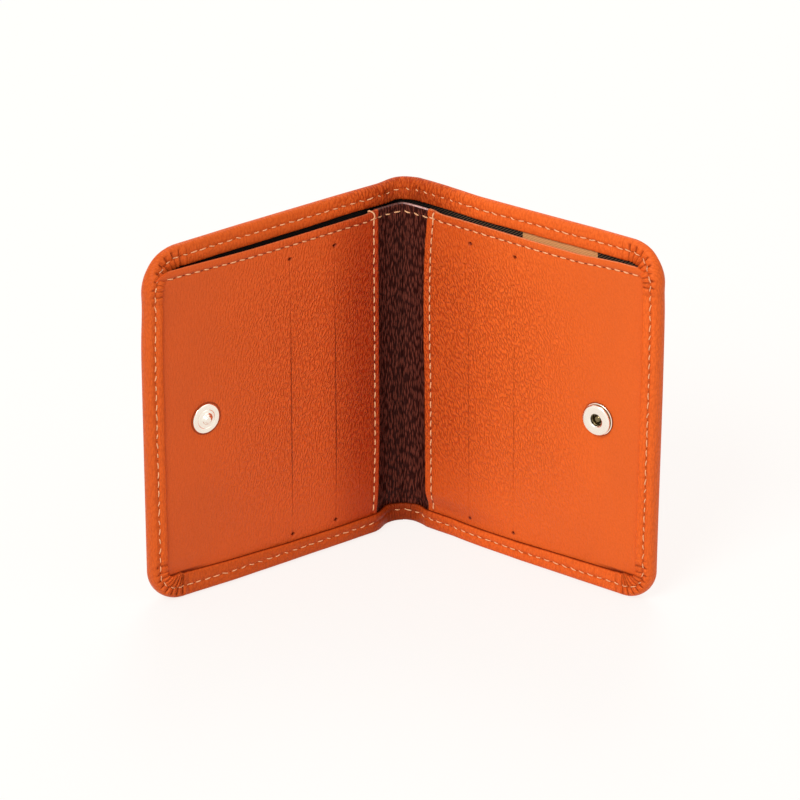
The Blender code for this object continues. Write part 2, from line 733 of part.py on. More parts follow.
def build_spine(parts, cutters):
    frame = empty("spine", parts, (0, CREASE_Y, 0))
    cover = spine_cover(parts, cutters, frame)
    spine_seam("spine_top_hem_thread", SPINE_THICK, HEIGHT - TOP_SEAM, cover, parts, cutters, frame)
    spine_seam("spine_bottom_hem_thread", SPINE_THICK, BOTTOM_SEAM, cover, parts, cutters, frame)
    low, high = LAYER_INSET, HEIGHT - LAYER_INSET
    end = LAYER_INSET + NOTE_LINING
    lining = arch_band("spine_lining", LAYER_INSET, end, low, high, parts, frame)
    finish_part(lining, LOOKS["twill"])

    lean = math.atan2(SPINE_STRIP_LEAN, PANEL_TOP - LAYER_INSET)
    tilt = empty("spine_strip_lean", parts, (0, 0, LAYER_INSET), (lean, 0, 0))
    tilt.parent = frame
    back = end + SPINE_STRIP_GAP
    outer, inner = SPINE_OUTER - back, SPINE_OUTER - back - SPINE_STRIP_THICK
    reach = math.asin(SPINE_STRIP_HALF / inner)
    points = arc(outer, reach, -reach) + arc(inner, -reach, reach)
    strip = plate("spine_strip", points, 0, PANEL_TOP - LAYER_INSET, parts, tilt)
    finish_part(strip, LOOKS["brown"])
    reach -= SEAM_END / inner
    up = PANEL_TOP - PANEL_TOP_SEAM - LAYER_INSET
    path = [(x, y, up) for x, y in arc(inner - THREAD_PROUD, -reach, reach)]
    seam("spine_strip_thread", path, parts, cutters, tilt, [strip])


clear_scene()
LOOKS = {
    "leather": material("orange_leather", ORANGE, 0.45),
    "brown": material("brown_leather", BROWN, 0.5),
    "twill": material("dark_twill", TWILL, 0.8),
    "board": material("board", BOARD_GREY, 0.9),
    "thread": material("cream_thread", CREAM, 0.6),
    "metal": material("pale_metal", PALE_METAL, 0.25, 1.0),
    "spring": material("spring_steel", SPRING_STEEL, 0.35, 1.0),
}
wallet = new_collection("wallet")
shapes = new_collection("cutters")
build_spine(wallet, shapes)
left = Half("left", -1, wallet, shapes)
right = Half("right", 1, wallet, shapes)
left.build()
right.build()
stud(left)
socket(right)
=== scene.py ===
"""Looks of a bifold card wallet that stands open on a pale floor."""

import math
from types import SimpleNamespace

import bmesh
import bpy
import numpy as np
from mathutils import Matrix, Vector


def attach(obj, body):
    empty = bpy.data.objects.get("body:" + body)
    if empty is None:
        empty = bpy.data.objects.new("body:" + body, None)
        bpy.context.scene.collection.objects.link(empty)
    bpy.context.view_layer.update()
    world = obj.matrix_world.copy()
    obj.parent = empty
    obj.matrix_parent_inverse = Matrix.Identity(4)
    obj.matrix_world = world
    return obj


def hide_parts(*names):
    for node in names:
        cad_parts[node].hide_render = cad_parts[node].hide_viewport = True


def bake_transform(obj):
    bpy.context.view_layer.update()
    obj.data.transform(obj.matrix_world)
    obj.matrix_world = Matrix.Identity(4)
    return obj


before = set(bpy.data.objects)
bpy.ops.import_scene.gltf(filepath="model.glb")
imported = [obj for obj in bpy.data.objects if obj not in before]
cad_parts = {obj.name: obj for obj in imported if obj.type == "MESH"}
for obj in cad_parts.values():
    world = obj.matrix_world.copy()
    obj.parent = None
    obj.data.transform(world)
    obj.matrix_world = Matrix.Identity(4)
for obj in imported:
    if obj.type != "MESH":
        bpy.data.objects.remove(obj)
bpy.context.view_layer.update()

MM = 0.001
SIDES = {-1: "left", 1: "right"}

# Sizes of the part, as in its source, in millimetres, for the left side (-1) and the right
# (1) where they differ. A place is (out from the crease, up, depth in from the outer face).
HEIGHT = 109.8
WIDTH = 83.3
FOLD = math.radians(35.95)
BOTTOM_CORNER = {-1: 9.9, 1: 9.2}
TOP_CORNER = {-1: 12.9, 1: 11.3}
TOP_THICK = 2.85

# The crease, and the low arch of the spine between the two creases
AXIS_OUT = 5.8
AXIS_Y = 24.86
AXIS_DEPTH = 0.5
ARCH_RISE = 2.3
ARCH_RADIUS = (AXIS_OUT**2 + ARCH_RISE**2) / (2 * ARCH_RISE)
ARCH_TURN = math.asin(AXIS_OUT / ARCH_RADIUS)
ARCH_LENGTH = ARCH_RADIUS * ARCH_TURN

# Hem: its width, and how far in its seam runs
SIDE_HEM, BOTTOM_HEM, TOP_HEM = 5.0, 6.2, 6.6
SIDE_SEAM, BOTTOM_SEAM, TOP_SEAM = 2.3, 3.9, 3.2
LOW_HEM_GROWTH = {-1: 1.6, 1: 1.2}

# Card panels, the strip between them, and the gap from the inner layers to the edge
PANEL_FACE = 5.0
PANEL_THICK = 0.8
PANEL_START = 5.0
PANEL_TOP = 102.3
PANEL_SEAM = 2.6
PANEL_TOP_CORNER = 7.0
EDGE_SEAM = {-1: 1.65, 1: 2.2}
STRIP_FACE = 4.1
STRIP_THICK = 0.65
EDGE_GAP = 1.3
SLITS = (20.0, 35.1)
SLIT_FOOT, SLIT_TOP = 8.5, 95.6
SNAP_OUT = {-1: 64.3, 1: 64.1}
SNAP_UP = {-1: 54.3, 1: 53.75}

# Stitches
STITCH_PITCH = 3.0
STITCH_LENGTH = 2.15
TWO_PI = 2 * math.pi

# The photograph's uneven lines, each as places and the values there.
# How far the cover's top edge stands off its height
TOP_LINE = {
    -1: ((-6.4, -4.5, -3, -1, 1, 3, 8, 16, 50, 64, 74),
         (-0.43, -0.52, -0.72, -1.0, -1.15, -1.18, -1.12, -1.05, -1.05, -1.2, -1.3)),
    1: ((-6.4, -3, -0.7, 3, 8, 20, 32, 45, 60, 72),
        (-0.43, -0.33, -0.12, -0.04, -0.07, -0.45, -0.25, 0.0, 0.33, 0.4)),
}
# Thickness of the bottom hem
LOW_LINE = {
    -1: ((-6.4, 0, 1.2, 2.9, 4.5, 6.2, 55, 72), (3.1, 3.2, 3.6, 4.7, 5.6, 6.2, 6.2, 5.5)),
    1: ((-6.4, -0.3, 1.7, 3.5, 7, 13, 18, 25, 38), (3.1, 3.2, 3.6, 4.4, 4.6, 4.6, 5.1, 5.5, 5.8)),
}
# How far the card panel's top edge rises
PANEL_RISE = {
    -1: ((5, 48, 56, 64, 72, 80), (0.0, 0.0, 0.12, 0.37, 0.63, 0.75)),
    1: ((5, 9, 25, 40, 56, 64, 70, 80), (0.0, 0.3, 0.45, 0.45, 0.5, 1.15, 1.6, 1.8)),
}
# How far the card panel's inner edge bulges to the spine, from the foot up
PANEL_BULGE = {
    -1: ((0, 6, 12, 20, 30, 102), (-0.4, -0.1, 0.25, 0.5, 0.75, 0.8)),
    1: ((0, 6, 12, 20, 50, 60, 75, 85, 92, 98, 102),
        (0.7, 1.0, 1.0, 1.05, 1.25, 1.6, 1.7, 1.55, 1.2, 0.6, 0.1)),
}


def smooth(value, low, high):
    t = np.clip((np.asarray(value, float) - low) / (high - low), 0, 1)
    return t * t * (3 - 2 * t)


def bell(value, middle, width):
    """1 at middle, falling to both sides within about the width."""
    return np.exp(-(((value - middle) / width) ** 2))


def unit(rows):
    return rows / np.linalg.norm(rows, axis=1)[:, None]


def blurred(values, width, reach, **padding):
    weights = bell(np.arange(-reach, reach + 1), 0, width)
    return np.convolve(np.pad(values, reach, **padding), weights / weights.sum(), "valid")


def interp_rows(places, marks, rows):
    return np.stack([np.interp(places, marks, column) for column in rows.T], -1)


def middle_line():
    """The wallet's middle line from above, an arch and then a straight half: the distance
    out from the crease, the place there, and the way along."""
    out = np.arange(-12.0, 100.0, 0.05)
    turn = ARCH_TURN + out / ARCH_RADIUS
    centre = AXIS_Y + ARCH_RISE - ARCH_RADIUS
    x = np.where(out < 0, ARCH_RADIUS * np.sin(turn), AXIS_OUT + out * math.cos(FOLD))
    y = np.where(out < 0, centre + ARCH_RADIUS * np.cos(turn), AXIS_Y - out * math.sin(FOLD))
    # rounds the crease off over about 2 mm
    x, y = (blurred(row, 18.0, 40, mode="reflect", reflect_type="odd") for row in (x, y))
    along_x, along_y = np.gradient(x), np.gradient(y)
    size = np.hypot(along_x, along_y)
    return out, x, y, along_x / size, along_y / size


LINE_OUT, *LINE_ROWS = middle_line()


def uneven(side, out, up, depth):
    """The real wallet's taper, towards the right half's foot and near the upper corners."""
    out, up, depth = np.broadcast_arrays(*(np.asarray(v, float) for v in (out, up, depth)))
    if side > 0:
        out = out - 0.85 * smooth(out, 30, WIDTH) * (1 - smooth(up, 0, 85))
    narrower, height, reach = (0.2, 97, 4) if side > 0 else (0.6, 93, 9)
    return out - narrower * bell(up, height, reach) * smooth(out, 70, WIDTH), up, depth


def at(side, out, up, depth, flat=False):
    """Places in metres of (out, up, depth), on leather that bends round the crease or, with
    flat, on a half's plane that goes straight on past it."""
    out, up, depth = uneven(side, out, up, depth)
    if flat:
        along_x, along_y = math.cos(FOLD), -math.sin(FOLD)
        x, y = AXIS_OUT + out * along_x, AXIS_Y + out * along_y
    else:
        x, y, along_x, along_y = (np.interp(out, LINE_OUT, row) for row in LINE_ROWS)
    inward = depth - AXIS_DEPTH
    return np.stack([side * (x + inward * along_y), y - inward * along_x, up], -1) * MM


def add_object(name, data):
    obj = bpy.data.objects.new(name, data)
    bpy.context.scene.collection.objects.link(obj)
    return obj


def make(name, points, faces, look, uv=None):
    """A mesh object of one material, with its places for the grain where uv gives them."""
    mesh = bpy.data.meshes.new(name)
    mesh.from_pydata(np.asarray(points).reshape(-1, 3).tolist(), [], faces)
    mesh.update()
    if uv is not None:
        corners = uv.reshape(-1, 2)[np.ravel(faces)].astype(np.float32)
        mesh.uv_layers.new(name="grain").data.foreach_set("uv", corners.ravel())
    mesh.shade_smooth()
    mesh.materials.append(look)
    return add_object(name, mesh)


def mark_points(obj, name, values):
    layer = obj.data.attributes.new(name, "FLOAT", "POINT")
    layer.data.foreach_set("value", values.ravel().astype(np.float32))


def weld(obj, distance=0.00002):
    work = bmesh.new()
    work.from_mesh(obj.data)
    bmesh.ops.remove_doubles(work, verts=work.verts, dist=distance)
    work.to_mesh(obj.data)
    work.free()
    obj.data.shade_smooth()


def thicken(obj, thick):
    solid = obj.modifiers.new("thickness", "SOLIDIFY")
    solid.thickness = thick * MM
    solid.offset = -1


def grid_faces(rows, columns, flip=False, first=0, wrap=False):
    """Faces of a grid of points, whose rows are closed into rings where wrap is set."""
    j, i = np.mgrid[: rows - 1, : columns if wrap else columns - 1]
    a, b = first + j * columns + i, first + j * columns + (i + 1) % columns
    corners = (a, a + columns, b + columns, b) if flip else (a, b, b + columns, a + columns)
    return np.stack(corners, -1).reshape(-1, 4).tolist()


def make_grid(name, points, look, grain_out, grain_up, flip):
    """A mesh of a grid of points, with the places in millimetres that its grain follows."""
    grain = np.stack([grain_out, grain_up], -1) * MM
    return make(name, points, grid_faces(*grain_out.shape, flip=flip), look, grain)


# Materials
class Nodes:
    """A node tree in the making. A value is a number, a colour or a node's output."""

    def __init__(self, owner, shader):
        self.owner = owner
        owner.use_nodes = True
        self.tree = owner.node_tree
        self.shader = self.tree.nodes[shader]

    def add(self, kind, inputs=None, **settings):
        node = self.tree.nodes.new("ShaderNode" + kind)
        for key, value in settings.items():
            setattr(node, key, value)
        for key, value in (inputs or {}).items():
            self.put(node.inputs[key], value)
        return node

    def put(self, socket, value):
        if isinstance(value, bpy.types.NodeSocket):
            self.tree.links.new(value, socket)
        else:
            socket.default_value = value

    def done(self, **inputs):
        """Sets the shader's inputs, named with _ for a space."""
        for key, value in inputs.items():
            self.put(self.shader.inputs[key.replace("_", " ")], value)
        return self.owner

    def math(self, operation, *values, clamp=False):
        node = self.add("Math", dict(enumerate(values)), operation=operation, use_clamp=clamp)
        return node.outputs[0]

    def times(self, result, *values):
        for value in values:
            result = self.math("MULTIPLY", result, value)
        return result

    def vector(self, operation, a, b):
        return self.add("VectorMath", {0: a, 1: b}, operation=operation).outputs

    def mix(self, factor, a, b):
        node = self.add("Mix", data_type="RGBA")
        for index, value in ((0, factor), (6, a), (7, b)):
            self.put(node.inputs[index], value)
        return node.outputs[2]

    def mapped(self, source, scale=(1, 1), degrees=0.0):
        values = {"Rotation": (0, 0, math.radians(degrees)), "Scale": (*scale, 1.0)}
        return self.add("Mapping", {"Vector": source, **values}).outputs[0]

    def noise(self, place, scale, detail):
        return self.add("TexNoise", {"Vector": place, "Scale": scale, "Detail": detail}).outputs

    def range(self, value, low, high, to_low=0.0, to_high=1.0):
        node = self.add("MapRange", {0: value, 1: low, 2: high, 3: to_low, 4: to_high})
        node.interpolation_type = "SMOOTHSTEP"
        return node.outputs[0]

    def attribute(self, name):
        return self.add("Attribute", attribute_name=name).outputs["Fac"]

    def bump(self, height, strength, distance, **inputs):
        values = {"Height": height, "Strength": strength, "Distance": distance, **inputs}
        return self.add("Bump", values).outputs[0]

    def seen(self):
        """1 for rays that show a thing straight, in a mirror or through glass, else 0."""
        rays = self.add("LightPath").outputs
        other = self.math("MAXIMUM", rays["Is Glossy Ray"], rays["Is Transmission Ray"])
        return self.math("MAXIMUM", rays["Is Camera Ray"], other)


def material_nodes(name):
    return Nodes(bpy.data.materials.new(name), "Principled BSDF")


def dimmed(colour, factor):
    return tuple(c * factor for c in colour[:3]) + (1,)


ORANGE = (0.765, 0.125, 0.015, 1)
# the left panel's tone: ORANGE darkened as painted shade, since the left half faces more away from the key
# lamp
ORANGE_LEFT_SHADED = (0.655, 0.100, 0.0145, 1)
ORANGE_COVER = (0.765, 0.127, 0.0175, 1)
ORANGE_VALLEY = (0.38, 0.028, 0.001, 1)
ORANGE_PAINTED_SHADE = (0.125, 0.008, 0.001, 1)
ORANGE_SNAP_SHADE = (0.16, 0.016, 0.003, 1)
BROWN = (0.150, 0.034, 0.021, 1)
BROWN_VALLEY = (0.022, 0.002, 0.001, 1)
SNAP_SHADE_RADIUS = 4.8
FINE_BUMP = 0.00008


def leather(name, colour, valley, rough, shine, cell, deep, contrast, lean=0.0, even=1.0, near=None,
            snap_shade=None, edge=None, fold=None, bright=1.16, core=(0.25, 0.68), outside=0.0, under=None):
    """Pebbled leather.
    cell, lean: a pebble's width and height, and its tilt in degrees
    deep, contrast: the pebbles' relief, and how dark their valleys are
    even: how pebbled it is all over, and near where it is more so: (out where that fades
    and where it has faded, up where it is full and where it is least, share at the top)
    snap_shade: a snap's (out, up), round which a thin ring of painted shade is drawn
    edge: a painted highlight along a turned top edge: (its height, how strong on the left and the right,
    colour)
    fold: painted shade beside the spine: how dark it is there, and how far out it reaches
    bright, core: the tone under the pebbles, and how wide each pebble's top is
    outside: how pebbled the wallet's outer face is
    under: height of the hem's lip at the outer corner, below which a shadow is painted on what is behind it"""
    n = material_nodes(name)
    place = n.add("UVMap", uv_map="grain").outputs[0]
    # pebbles on a warped and tilted grid, with low ridges between them
    warp = n.vector("SUBTRACT", n.noise(place, 260.0, 1.0)["Color"], (0.5, 0.5, 0.5))[0]
    bent = n.vector("ADD", place, n.vector("MULTIPLY", warp, (0.0006, 0.0012, 0.0))[0])[0]
    tilted = n.mapped(bent, degrees=lean)
    cells = n.mapped(tilted, (1000 / cell[0], 1000 / cell[1]))
    pebbles = n.add("TexVoronoi", {"Vector": cells, "Scale": 1.0}, voronoi_dimensions="2D", feature="F1")
    valleys = n.range(pebbles.outputs["Distance"], *core)
    ridges = n.noise(n.mapped(tilted, (1500 / cell[0], 1500 / cell[1])), 1.0, 1.0)[0]
    ridges = n.range(ridges, 0.36, 0.64)
    relief = n.math("SUBTRACT", 1.0, n.math("ADD", n.times(valleys, 0.85), n.times(ridges, 0.15)))
    fine = n.noise(n.mapped(place, (2300, 1500)), 1.0, 3.0)[0]
    patches = n.noise(place, 38.0, 3.0)[0]
    across, up = n.add("SeparateXYZ", {0: place}).outputs[:2]
    out = n.math("ABSOLUTE", across)
    # how pebbled it is
    inside = n.math("SUBTRACT", 1.0, n.attribute("outer"))
    amount = even
    if near:
        full_out, end_out, full_up, low_up, top_share = near
        close = n.times(
            n.range(out, full_out, end_out, 1.0, 0.0),
            n.range(up, low_up, full_up, 0.14, 1.0),
            n.range(up, 0.080, 0.101, 1.0, top_share),
            n.range(patches, 0.3, 0.6, 0.75, 1.0),
        )
        amount = n.math("ADD", close, even, clamp=True)
    if outside:
        shown_outside = n.math("SUBTRACT", outside, n.times(outside, inside))
        amount = n.math("ADD", n.times(amount, inside), shown_outside)
    # tone of the pebbles and of their valleys, and the painted shade beside the spine
    tone = n.mix(n.range(patches, 0.3, 0.7), dimmed(colour, 0.93), colour)
    tone = n.mix(amount, tone, dimmed(colour, bright))
    dark = n.times(n.math("SUBTRACT", 1.0, relief), amount, contrast)
    dark = n.math("ADD", dark, n.range(fine, 0.35, 0.65, 0.10, 0.0), clamp=True)
    if fold:
        darkest, reach = fold
        fold_shade = n.times(n.range(out, 0.009, reach, darkest, 0.0), inside)
        dark = n.math("ADD", dark, fold_shade, clamp=True)
    look = n.mix(dark, tone, valley)
    # painted shade and painted highlights on it
    # a thin dark ring of painted shade round the snap, where the leather dips
    if snap_shade:
        gap = n.vector("DISTANCE", place, (snap_shade[0] * MM, snap_shade[1] * MM, 0.0))["Value"]
        away = n.math("ABSOLUTE", n.math("SUBTRACT", gap, SNAP_SHADE_RADIUS * MM))
        look = n.mix(n.range(away, 0.0, 0.0004, 0.7, 0.0), look, ORANGE_SNAP_SHADE)
    # a painted highlight along the turned top edge, stronger on the right
    if edge:
        height, highlight_left, highlight_right, highlight_colour = edge
        rim_highlight = n.range(up, (height - 0.36) * MM, (height - 0.16) * MM)
        rim_highlight = n.times(rim_highlight, n.range(across, -0.002, 0.004, highlight_left, highlight_right))
        look = n.mix(rim_highlight, look, highlight_colour)
    # painted shadow under the hem's lip, towards the outer foot corner
    if under:
        gloom = n.range(up, (under + 0.3) * MM, (under + 1.0) * MM, 0.85, 0.0)
        gloom = n.times(gloom, n.range(out, (WIDTH - 20) * MM, (WIDTH - 11) * MM))
        look = n.mix(gloom, look, ORANGE_PAINTED_SHADE)
    # painted shade carried by the mesh's crease attribute: pleats, gathers, seam grooves, slits, holes and
    # the hem
    look = n.mix(n.attribute("crease"), look, ORANGE_PAINTED_SHADE)
    pebbled = n.bump(n.times(relief, amount), 1.0, deep * MM, Normal=n.bump(fine, 0.25, FINE_BUMP))
    roughness = n.range(patches, 0.3, 0.7, rough - 0.04, rough + 0.06)
    return n.done(Base_Color=look, Normal=pebbled, Roughness=roughness, Specular_IOR_Level=shine)


def panel_leather(side):
    left = side < 0
    # the left panel gets the shaded tone, stronger painted shade beside the spine and a fainter painted
    # highlight on its top edge
    return leather(
        "orange_panel_" + SIDES[side], ORANGE_LEFT_SHADED if left else ORANGE, ORANGE_VALLEY, 0.42, 0.17,
        cell=(0.54, 1.4) if left else (0.5, 1.3), deep=0.33, contrast=0.46, lean=-side * 17, even=0.12,
        near=(0.026, 0.072, 0.042, 0.008, 0.4), snap_shade=(side * SNAP_OUT[side], SNAP_UP[side]),
        edge=(PANEL_TOP, 0.25, 0.8, (1.0, 0.36, 0.16, 1)), fold=(0.62, 0.027) if left else (0.3, 0.036),
        bright=1.26, under=BOTTOM_HEM + LOW_HEM_GROWTH[side])


def twill(name, band=None):
    """Dark diagonal twill, with a plain tan band where band gives its two edges; painted shade darkens its
    ribs to near black without a band, and darkens it near the spine with one.
    """
    n = material_nodes(name)
    black = (0.004, 0.003, 0.003, 1)
    place = n.add("UVMap", uv_map="grain").outputs[0]
    waves = {"Vector": n.mapped(place, degrees=52), "Scale": 470.0, "Distortion": 0.4, "Detail": 1.0}
    ribs = n.add("TexWave", waves).outputs[1]
    threads = n.noise(n.mapped(place, (3000, 900)), 1.0, 2.0)[0]
    # without a band, the ribs are darkened to near black as painted shade
    light = (0.15, 0.10, 0.06, 1) if band else (0.010, 0.008, 0.006, 1)
    colour = n.mix(n.range(ribs, 0.45, 0.8), black, light)
    colour = n.mix(n.range(threads, 0.35, 0.65, 0.0, 0.35), colour, (0.015, 0.013, 0.012, 1))
    if band:
        start, end = band
        sharp = 1e-4
        across = n.add("SeparateXYZ", {0: place}).outputs[0]
        # painted shade near the spine
        colour = n.mix(n.range(across, 0.002, 0.018, 0.85, 0.0), colour, black)
        after_start = n.range(across, start - sharp, start + sharp)
        before_end = n.range(across, end - sharp, end + sharp, 1.0, 0.0)
        tan = n.mix(ribs, (0.76, 0.36, 0.13, 1), (0.86, 0.45, 0.18, 1))
        colour = n.mix(n.times(after_start, before_end), colour, tan)
    relief = n.bump(ribs, 0.5, FINE_BUMP)
    return n.done(Base_Color=colour, Normal=relief, Roughness=0.75, Specular_IOR_Level=0.15)


def thread(name):
    n = material_nodes(name)
    waves = {"Vector": n.add("TexCoord").outputs["Object"], "Scale": 2300.0, "Distortion": 1.0}
    twist = n.add("TexWave", waves, bands_direction="DIAGONAL").outputs[1]
    tone = n.mix(twist, (0.84, 0.38, 0.16, 1), (1.0, 0.58, 0.31, 1))
    return n.done(Base_Color=tone, Normal=n.bump(twist, 0.6, FINE_BUMP), Roughness=0.55)


def plain(name, colour, other, scale, rough, metallic=0.0, bump=0.0):
    n = material_nodes(name)
    noise = n.noise(n.add("TexCoord").outputs["Object"], scale, 5.0)[0]
    if bump:
        n.done(Normal=n.bump(noise, bump, 0.0001))
    roughness = n.range(noise, 0.3, 0.7, rough * 0.8, rough * 1.2)
    return n.done(Base_Color=n.mix(noise, colour, other), Roughness=roughness, Metallic=metallic)


LOOKS = {
    "cover": leather(
        "orange_cover", ORANGE_COVER, ORANGE_VALLEY, 0.42, 0.09, cell=(0.6, 1.5), deep=0.17, contrast=0.5,
        even=0.45, near=(0.0, 0.04, 0.04, -0.01, 1.0), fold=(0.25, 0.027), bright=1.25, outside=0.6),
    "panel": {side: panel_leather(side) for side in SIDES},
    "brown": leather(
        "brown_strip", BROWN, BROWN_VALLEY, 0.46, 0.10, cell=(0.56, 2.6), deep=0.3, contrast=1.0,
        # edge: a painted highlight along the strip's top edge, strongest on the right
        core=(0.12, 0.58), edge=(PANEL_TOP, 0.12, 0.95, (0.75, 0.46, 0.42, 1))),
    "thread": thread("cream_thread"),
    # needle holes: dark pits whose colour is painted shade
    "hole": plain("needle_hole", (0.10, 0.015, 0.004, 1), (0.05, 0.008, 0.002, 1), 900, 0.8),
    "metal": plain("pale_metal", (0.97, 0.90, 0.80, 1), (0.90, 0.82, 0.71, 1), 400, 0.2, 1.0),
    # brass, darkened as painted shade, for the inside of the socket's hole and its groove
    "brass": plain("shaded_brass", (0.30, 0.24, 0.12, 1), (0.12, 0.09, 0.04, 1), 900, 0.22, 1.0),
    "board": plain("grey_board", (0.30, 0.24, 0.18, 1), (0.24, 0.19, 0.14, 1), 500, 0.9, bump=0.3),
    "cloth": plain("dark_cloth", (0.022, 0.018, 0.016, 1), (0.010, 0.008, 0.008, 1), 1800, 0.8, bump=0.5),
    "lining": {-1: twill("twill_left_shaded"), 1: twill("twill_right", band=(0.0356, 0.0609))},
}


def bend(obj):
    """Bakes a piece's place into its points."""
    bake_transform(obj)


def lift_of(side, out, up):
    """How far the uneven top edge lifts the leather, which is nothing in its lower half."""
    return np.interp(out, *TOP_LINE[side]) * smooth(up, 60, HEIGHT)


def low_thick(side, out):
    """Thickness of the bottom hem: it thins towards the spine."""
    return np.interp(out, *LOW_LINE[side])


# Cover leather: a section carried round the edge, and the outer face inside it
FINE_STEP, SPINE_STEP, COARSE_STEP = 0.25, 0.35, 1.3
CORNER_STEPS = 56


def edge_path(side):
    """Places along the edge, from the spine's foot round to its top: rows of (out, up,
    inward out, inward up). Also where the low corner starts, and both corners' middles."""
    corner, low_corner = TOP_CORNER[side], BOTTOM_CORNER[side]
    low_end, top_end, high_start = WIDTH - low_corner, WIDTH - corner, HEIGHT - corner
    near_spine, near_corner = 8.0, 6.0
    turns = np.linspace(0, math.pi / 2, CORNER_STEPS + 1)[:-1]
    rows = []

    def spaced(*marks):
        """Values between places, where marks gives places and the steps between them."""
        values = []
        for low, step, high in zip(marks[::2], marks[1::2], marks[2::2]):
            count = max(2, int(round(abs(high - low) / step)) + 1)
            values += list(np.linspace(low, high, count)[:-1])
        return values

    def arc(centre_out, centre_up, radius, ways):
        first = len(rows)
        for inward in ways:
            rows.append((centre_out - radius * inward[0], centre_up - radius * inward[1], *inward))
        return first, first + CORNER_STEPS // 2

    outs = spaced(-ARCH_LENGTH, SPINE_STEP, near_spine, COARSE_STEP,
                  low_end - near_corner, FINE_STEP, low_end)
    rows += [(out, 0.0, 0, 1) for out in outs]
    low_arc, low_middle = arc(low_end, low_corner, low_corner, [(-math.sin(t), math.cos(t)) for t in turns])
    ups = spaced(low_corner, FINE_STEP, low_corner + near_corner, COARSE_STEP,
                 high_start - near_corner, FINE_STEP, high_start)
    rows += [(WIDTH, up, -1, 0) for up in ups]
    high_middle = arc(top_end, high_start, corner, [(-math.cos(t), -math.sin(t)) for t in turns])[1]
    outs = spaced(top_end, FINE_STEP, top_end - near_corner, COARSE_STEP,
                  near_spine, SPINE_STEP, -ARCH_LENGTH)
    rows += [(out, HEIGHT, 0, -1) for out in [*outs, -ARCH_LENGTH]]
    return np.array(rows), low_arc, low_middle, high_middle


def walk_edge(side):
    """What holds along the edge: the places, the length so far, how much they belong to
    the foot and the top, and the hem's thickness, width, seam and roll."""
    path, low_arc, low_middle, high_middle = edge_path(side)
    out, up, in_out, in_up = path.T
    length = np.concatenate([[0], np.cumsum(np.hypot(np.diff(out), np.diff(up)))])
    low_start, low_length = length[low_arc], BOTTOM_CORNER[side] * math.pi / 2
    high_start = low_start + low_length + HEIGHT - TOP_CORNER[side] - BOTTOM_CORNER[side]
    high_length = TOP_CORNER[side] * math.pi / 2
    is_top = smooth(length, high_start + 0.18 * high_length, high_start + 0.72 * high_length)
    is_low = 1 - smooth(length, low_start, low_start + low_length)
    thick = low_thick(side, out) * (1 - is_top) + TOP_THICK * is_top
    low_hem = BOTTOM_HEM + LOW_HEM_GROWTH[side] * smooth(length, 25, low_start + 0.4 * low_length)
    low_hem = low_hem - 0.5 * (1 - smooth(length, 2, 8))
    high_hem = TOP_HEM - (0.45 if side < 0 else 0.0) * bell(out, 10, 16)
    hem = SIDE_HEM + (low_hem - SIDE_HEM) * is_low + (high_hem - SIDE_HEM) * is_top
    # the hem is wider where it turns the foot's corner
    hem = hem + bell(length, low_start + 0.35 * low_length, 4.5)
    seam_in = SIDE_SEAM + (BOTTOM_SEAM - SIDE_SEAM) * is_low + (TOP_SEAM - SIDE_SEAM) * is_top
    roll = np.minimum(2.1, thick * 0.5) - (0.6 * is_low if side < 0 else 0.0)
    corners = ((low_start, low_length, 4.6, 3), (high_start, high_length, 2.2, 7))
    return SimpleNamespace(
        out=out, up=up, in_out=in_out, in_up=in_up, length=length, is_low=is_low, is_top=is_top,
        thick=thick, hem=hem, seam_in=seam_in, roll=roll, corners=corners,
        low_middle=low_middle, high_middle=high_middle,
    )


# The section's rows, from the outer face round the edge to the hem's cut edge
FACE_IN = 5.8
LIP = 0.55
FLAT_STEPS = (0.0, 0.35, 0.7, 1.0)
ROLL_STEPS = np.linspace(0, math.pi, 15)[1:]
FACE_STEPS = (0.1, 0.2, 0.3, 0.38, 0.44, 0.5, 0.56, 0.62, 0.7, 0.8, 0.9, 1.0)
LIP_STEPS = np.linspace(0, math.pi / 2, 5)[1:]
OUTER_ROWS = len(FLAT_STEPS) + len(ROLL_STEPS)
SEAM_ROW = OUTER_ROWS + FACE_STEPS.index(0.5)


def section(edge):
    """How far in and how deep each row lies, and its kind: 0 outside and 1 on the hem."""
    rows = []
    for step in FLAT_STEPS:
        rows.append((FACE_IN + (edge.roll - FACE_IN) * step, np.zeros(len(edge.out)), 0.0))
    for turn in ROLL_STEPS:
        inset = edge.roll * (1 - np.sin(turn) ** 0.85)
        depth = edge.thick / 2 * (1 - np.cos(turn))
        rows.append((inset, depth, max(0.0, (turn / math.pi - 0.62) / 0.38)))
    hem_flat = edge.hem - LIP
    for step in FACE_STEPS:
        # the seam sits where half of the steps are
        before = step <= 0.5
        low, high = (edge.roll, edge.seam_in) if before else (edge.seam_in, hem_flat)
        share = step * 2 if before else step * 2 - 1
        rows.append((low + (high - low) * share, edge.thick, 1.0))
    for turn in LIP_STEPS:
        rows.append((hem_flat + LIP * np.sin(turn), edge.thick - LIP * (1 - np.cos(turn)), 1.0))
    rows.append((edge.hem, edge.thick - 1.0, 1.0))
    rows.append((edge.hem - 0.6, edge.thick - 1.05, 0.0))
    insets, depths, kinds = (np.array(values) for values in zip(*rows))
    return insets, depths, kinds[:, None]


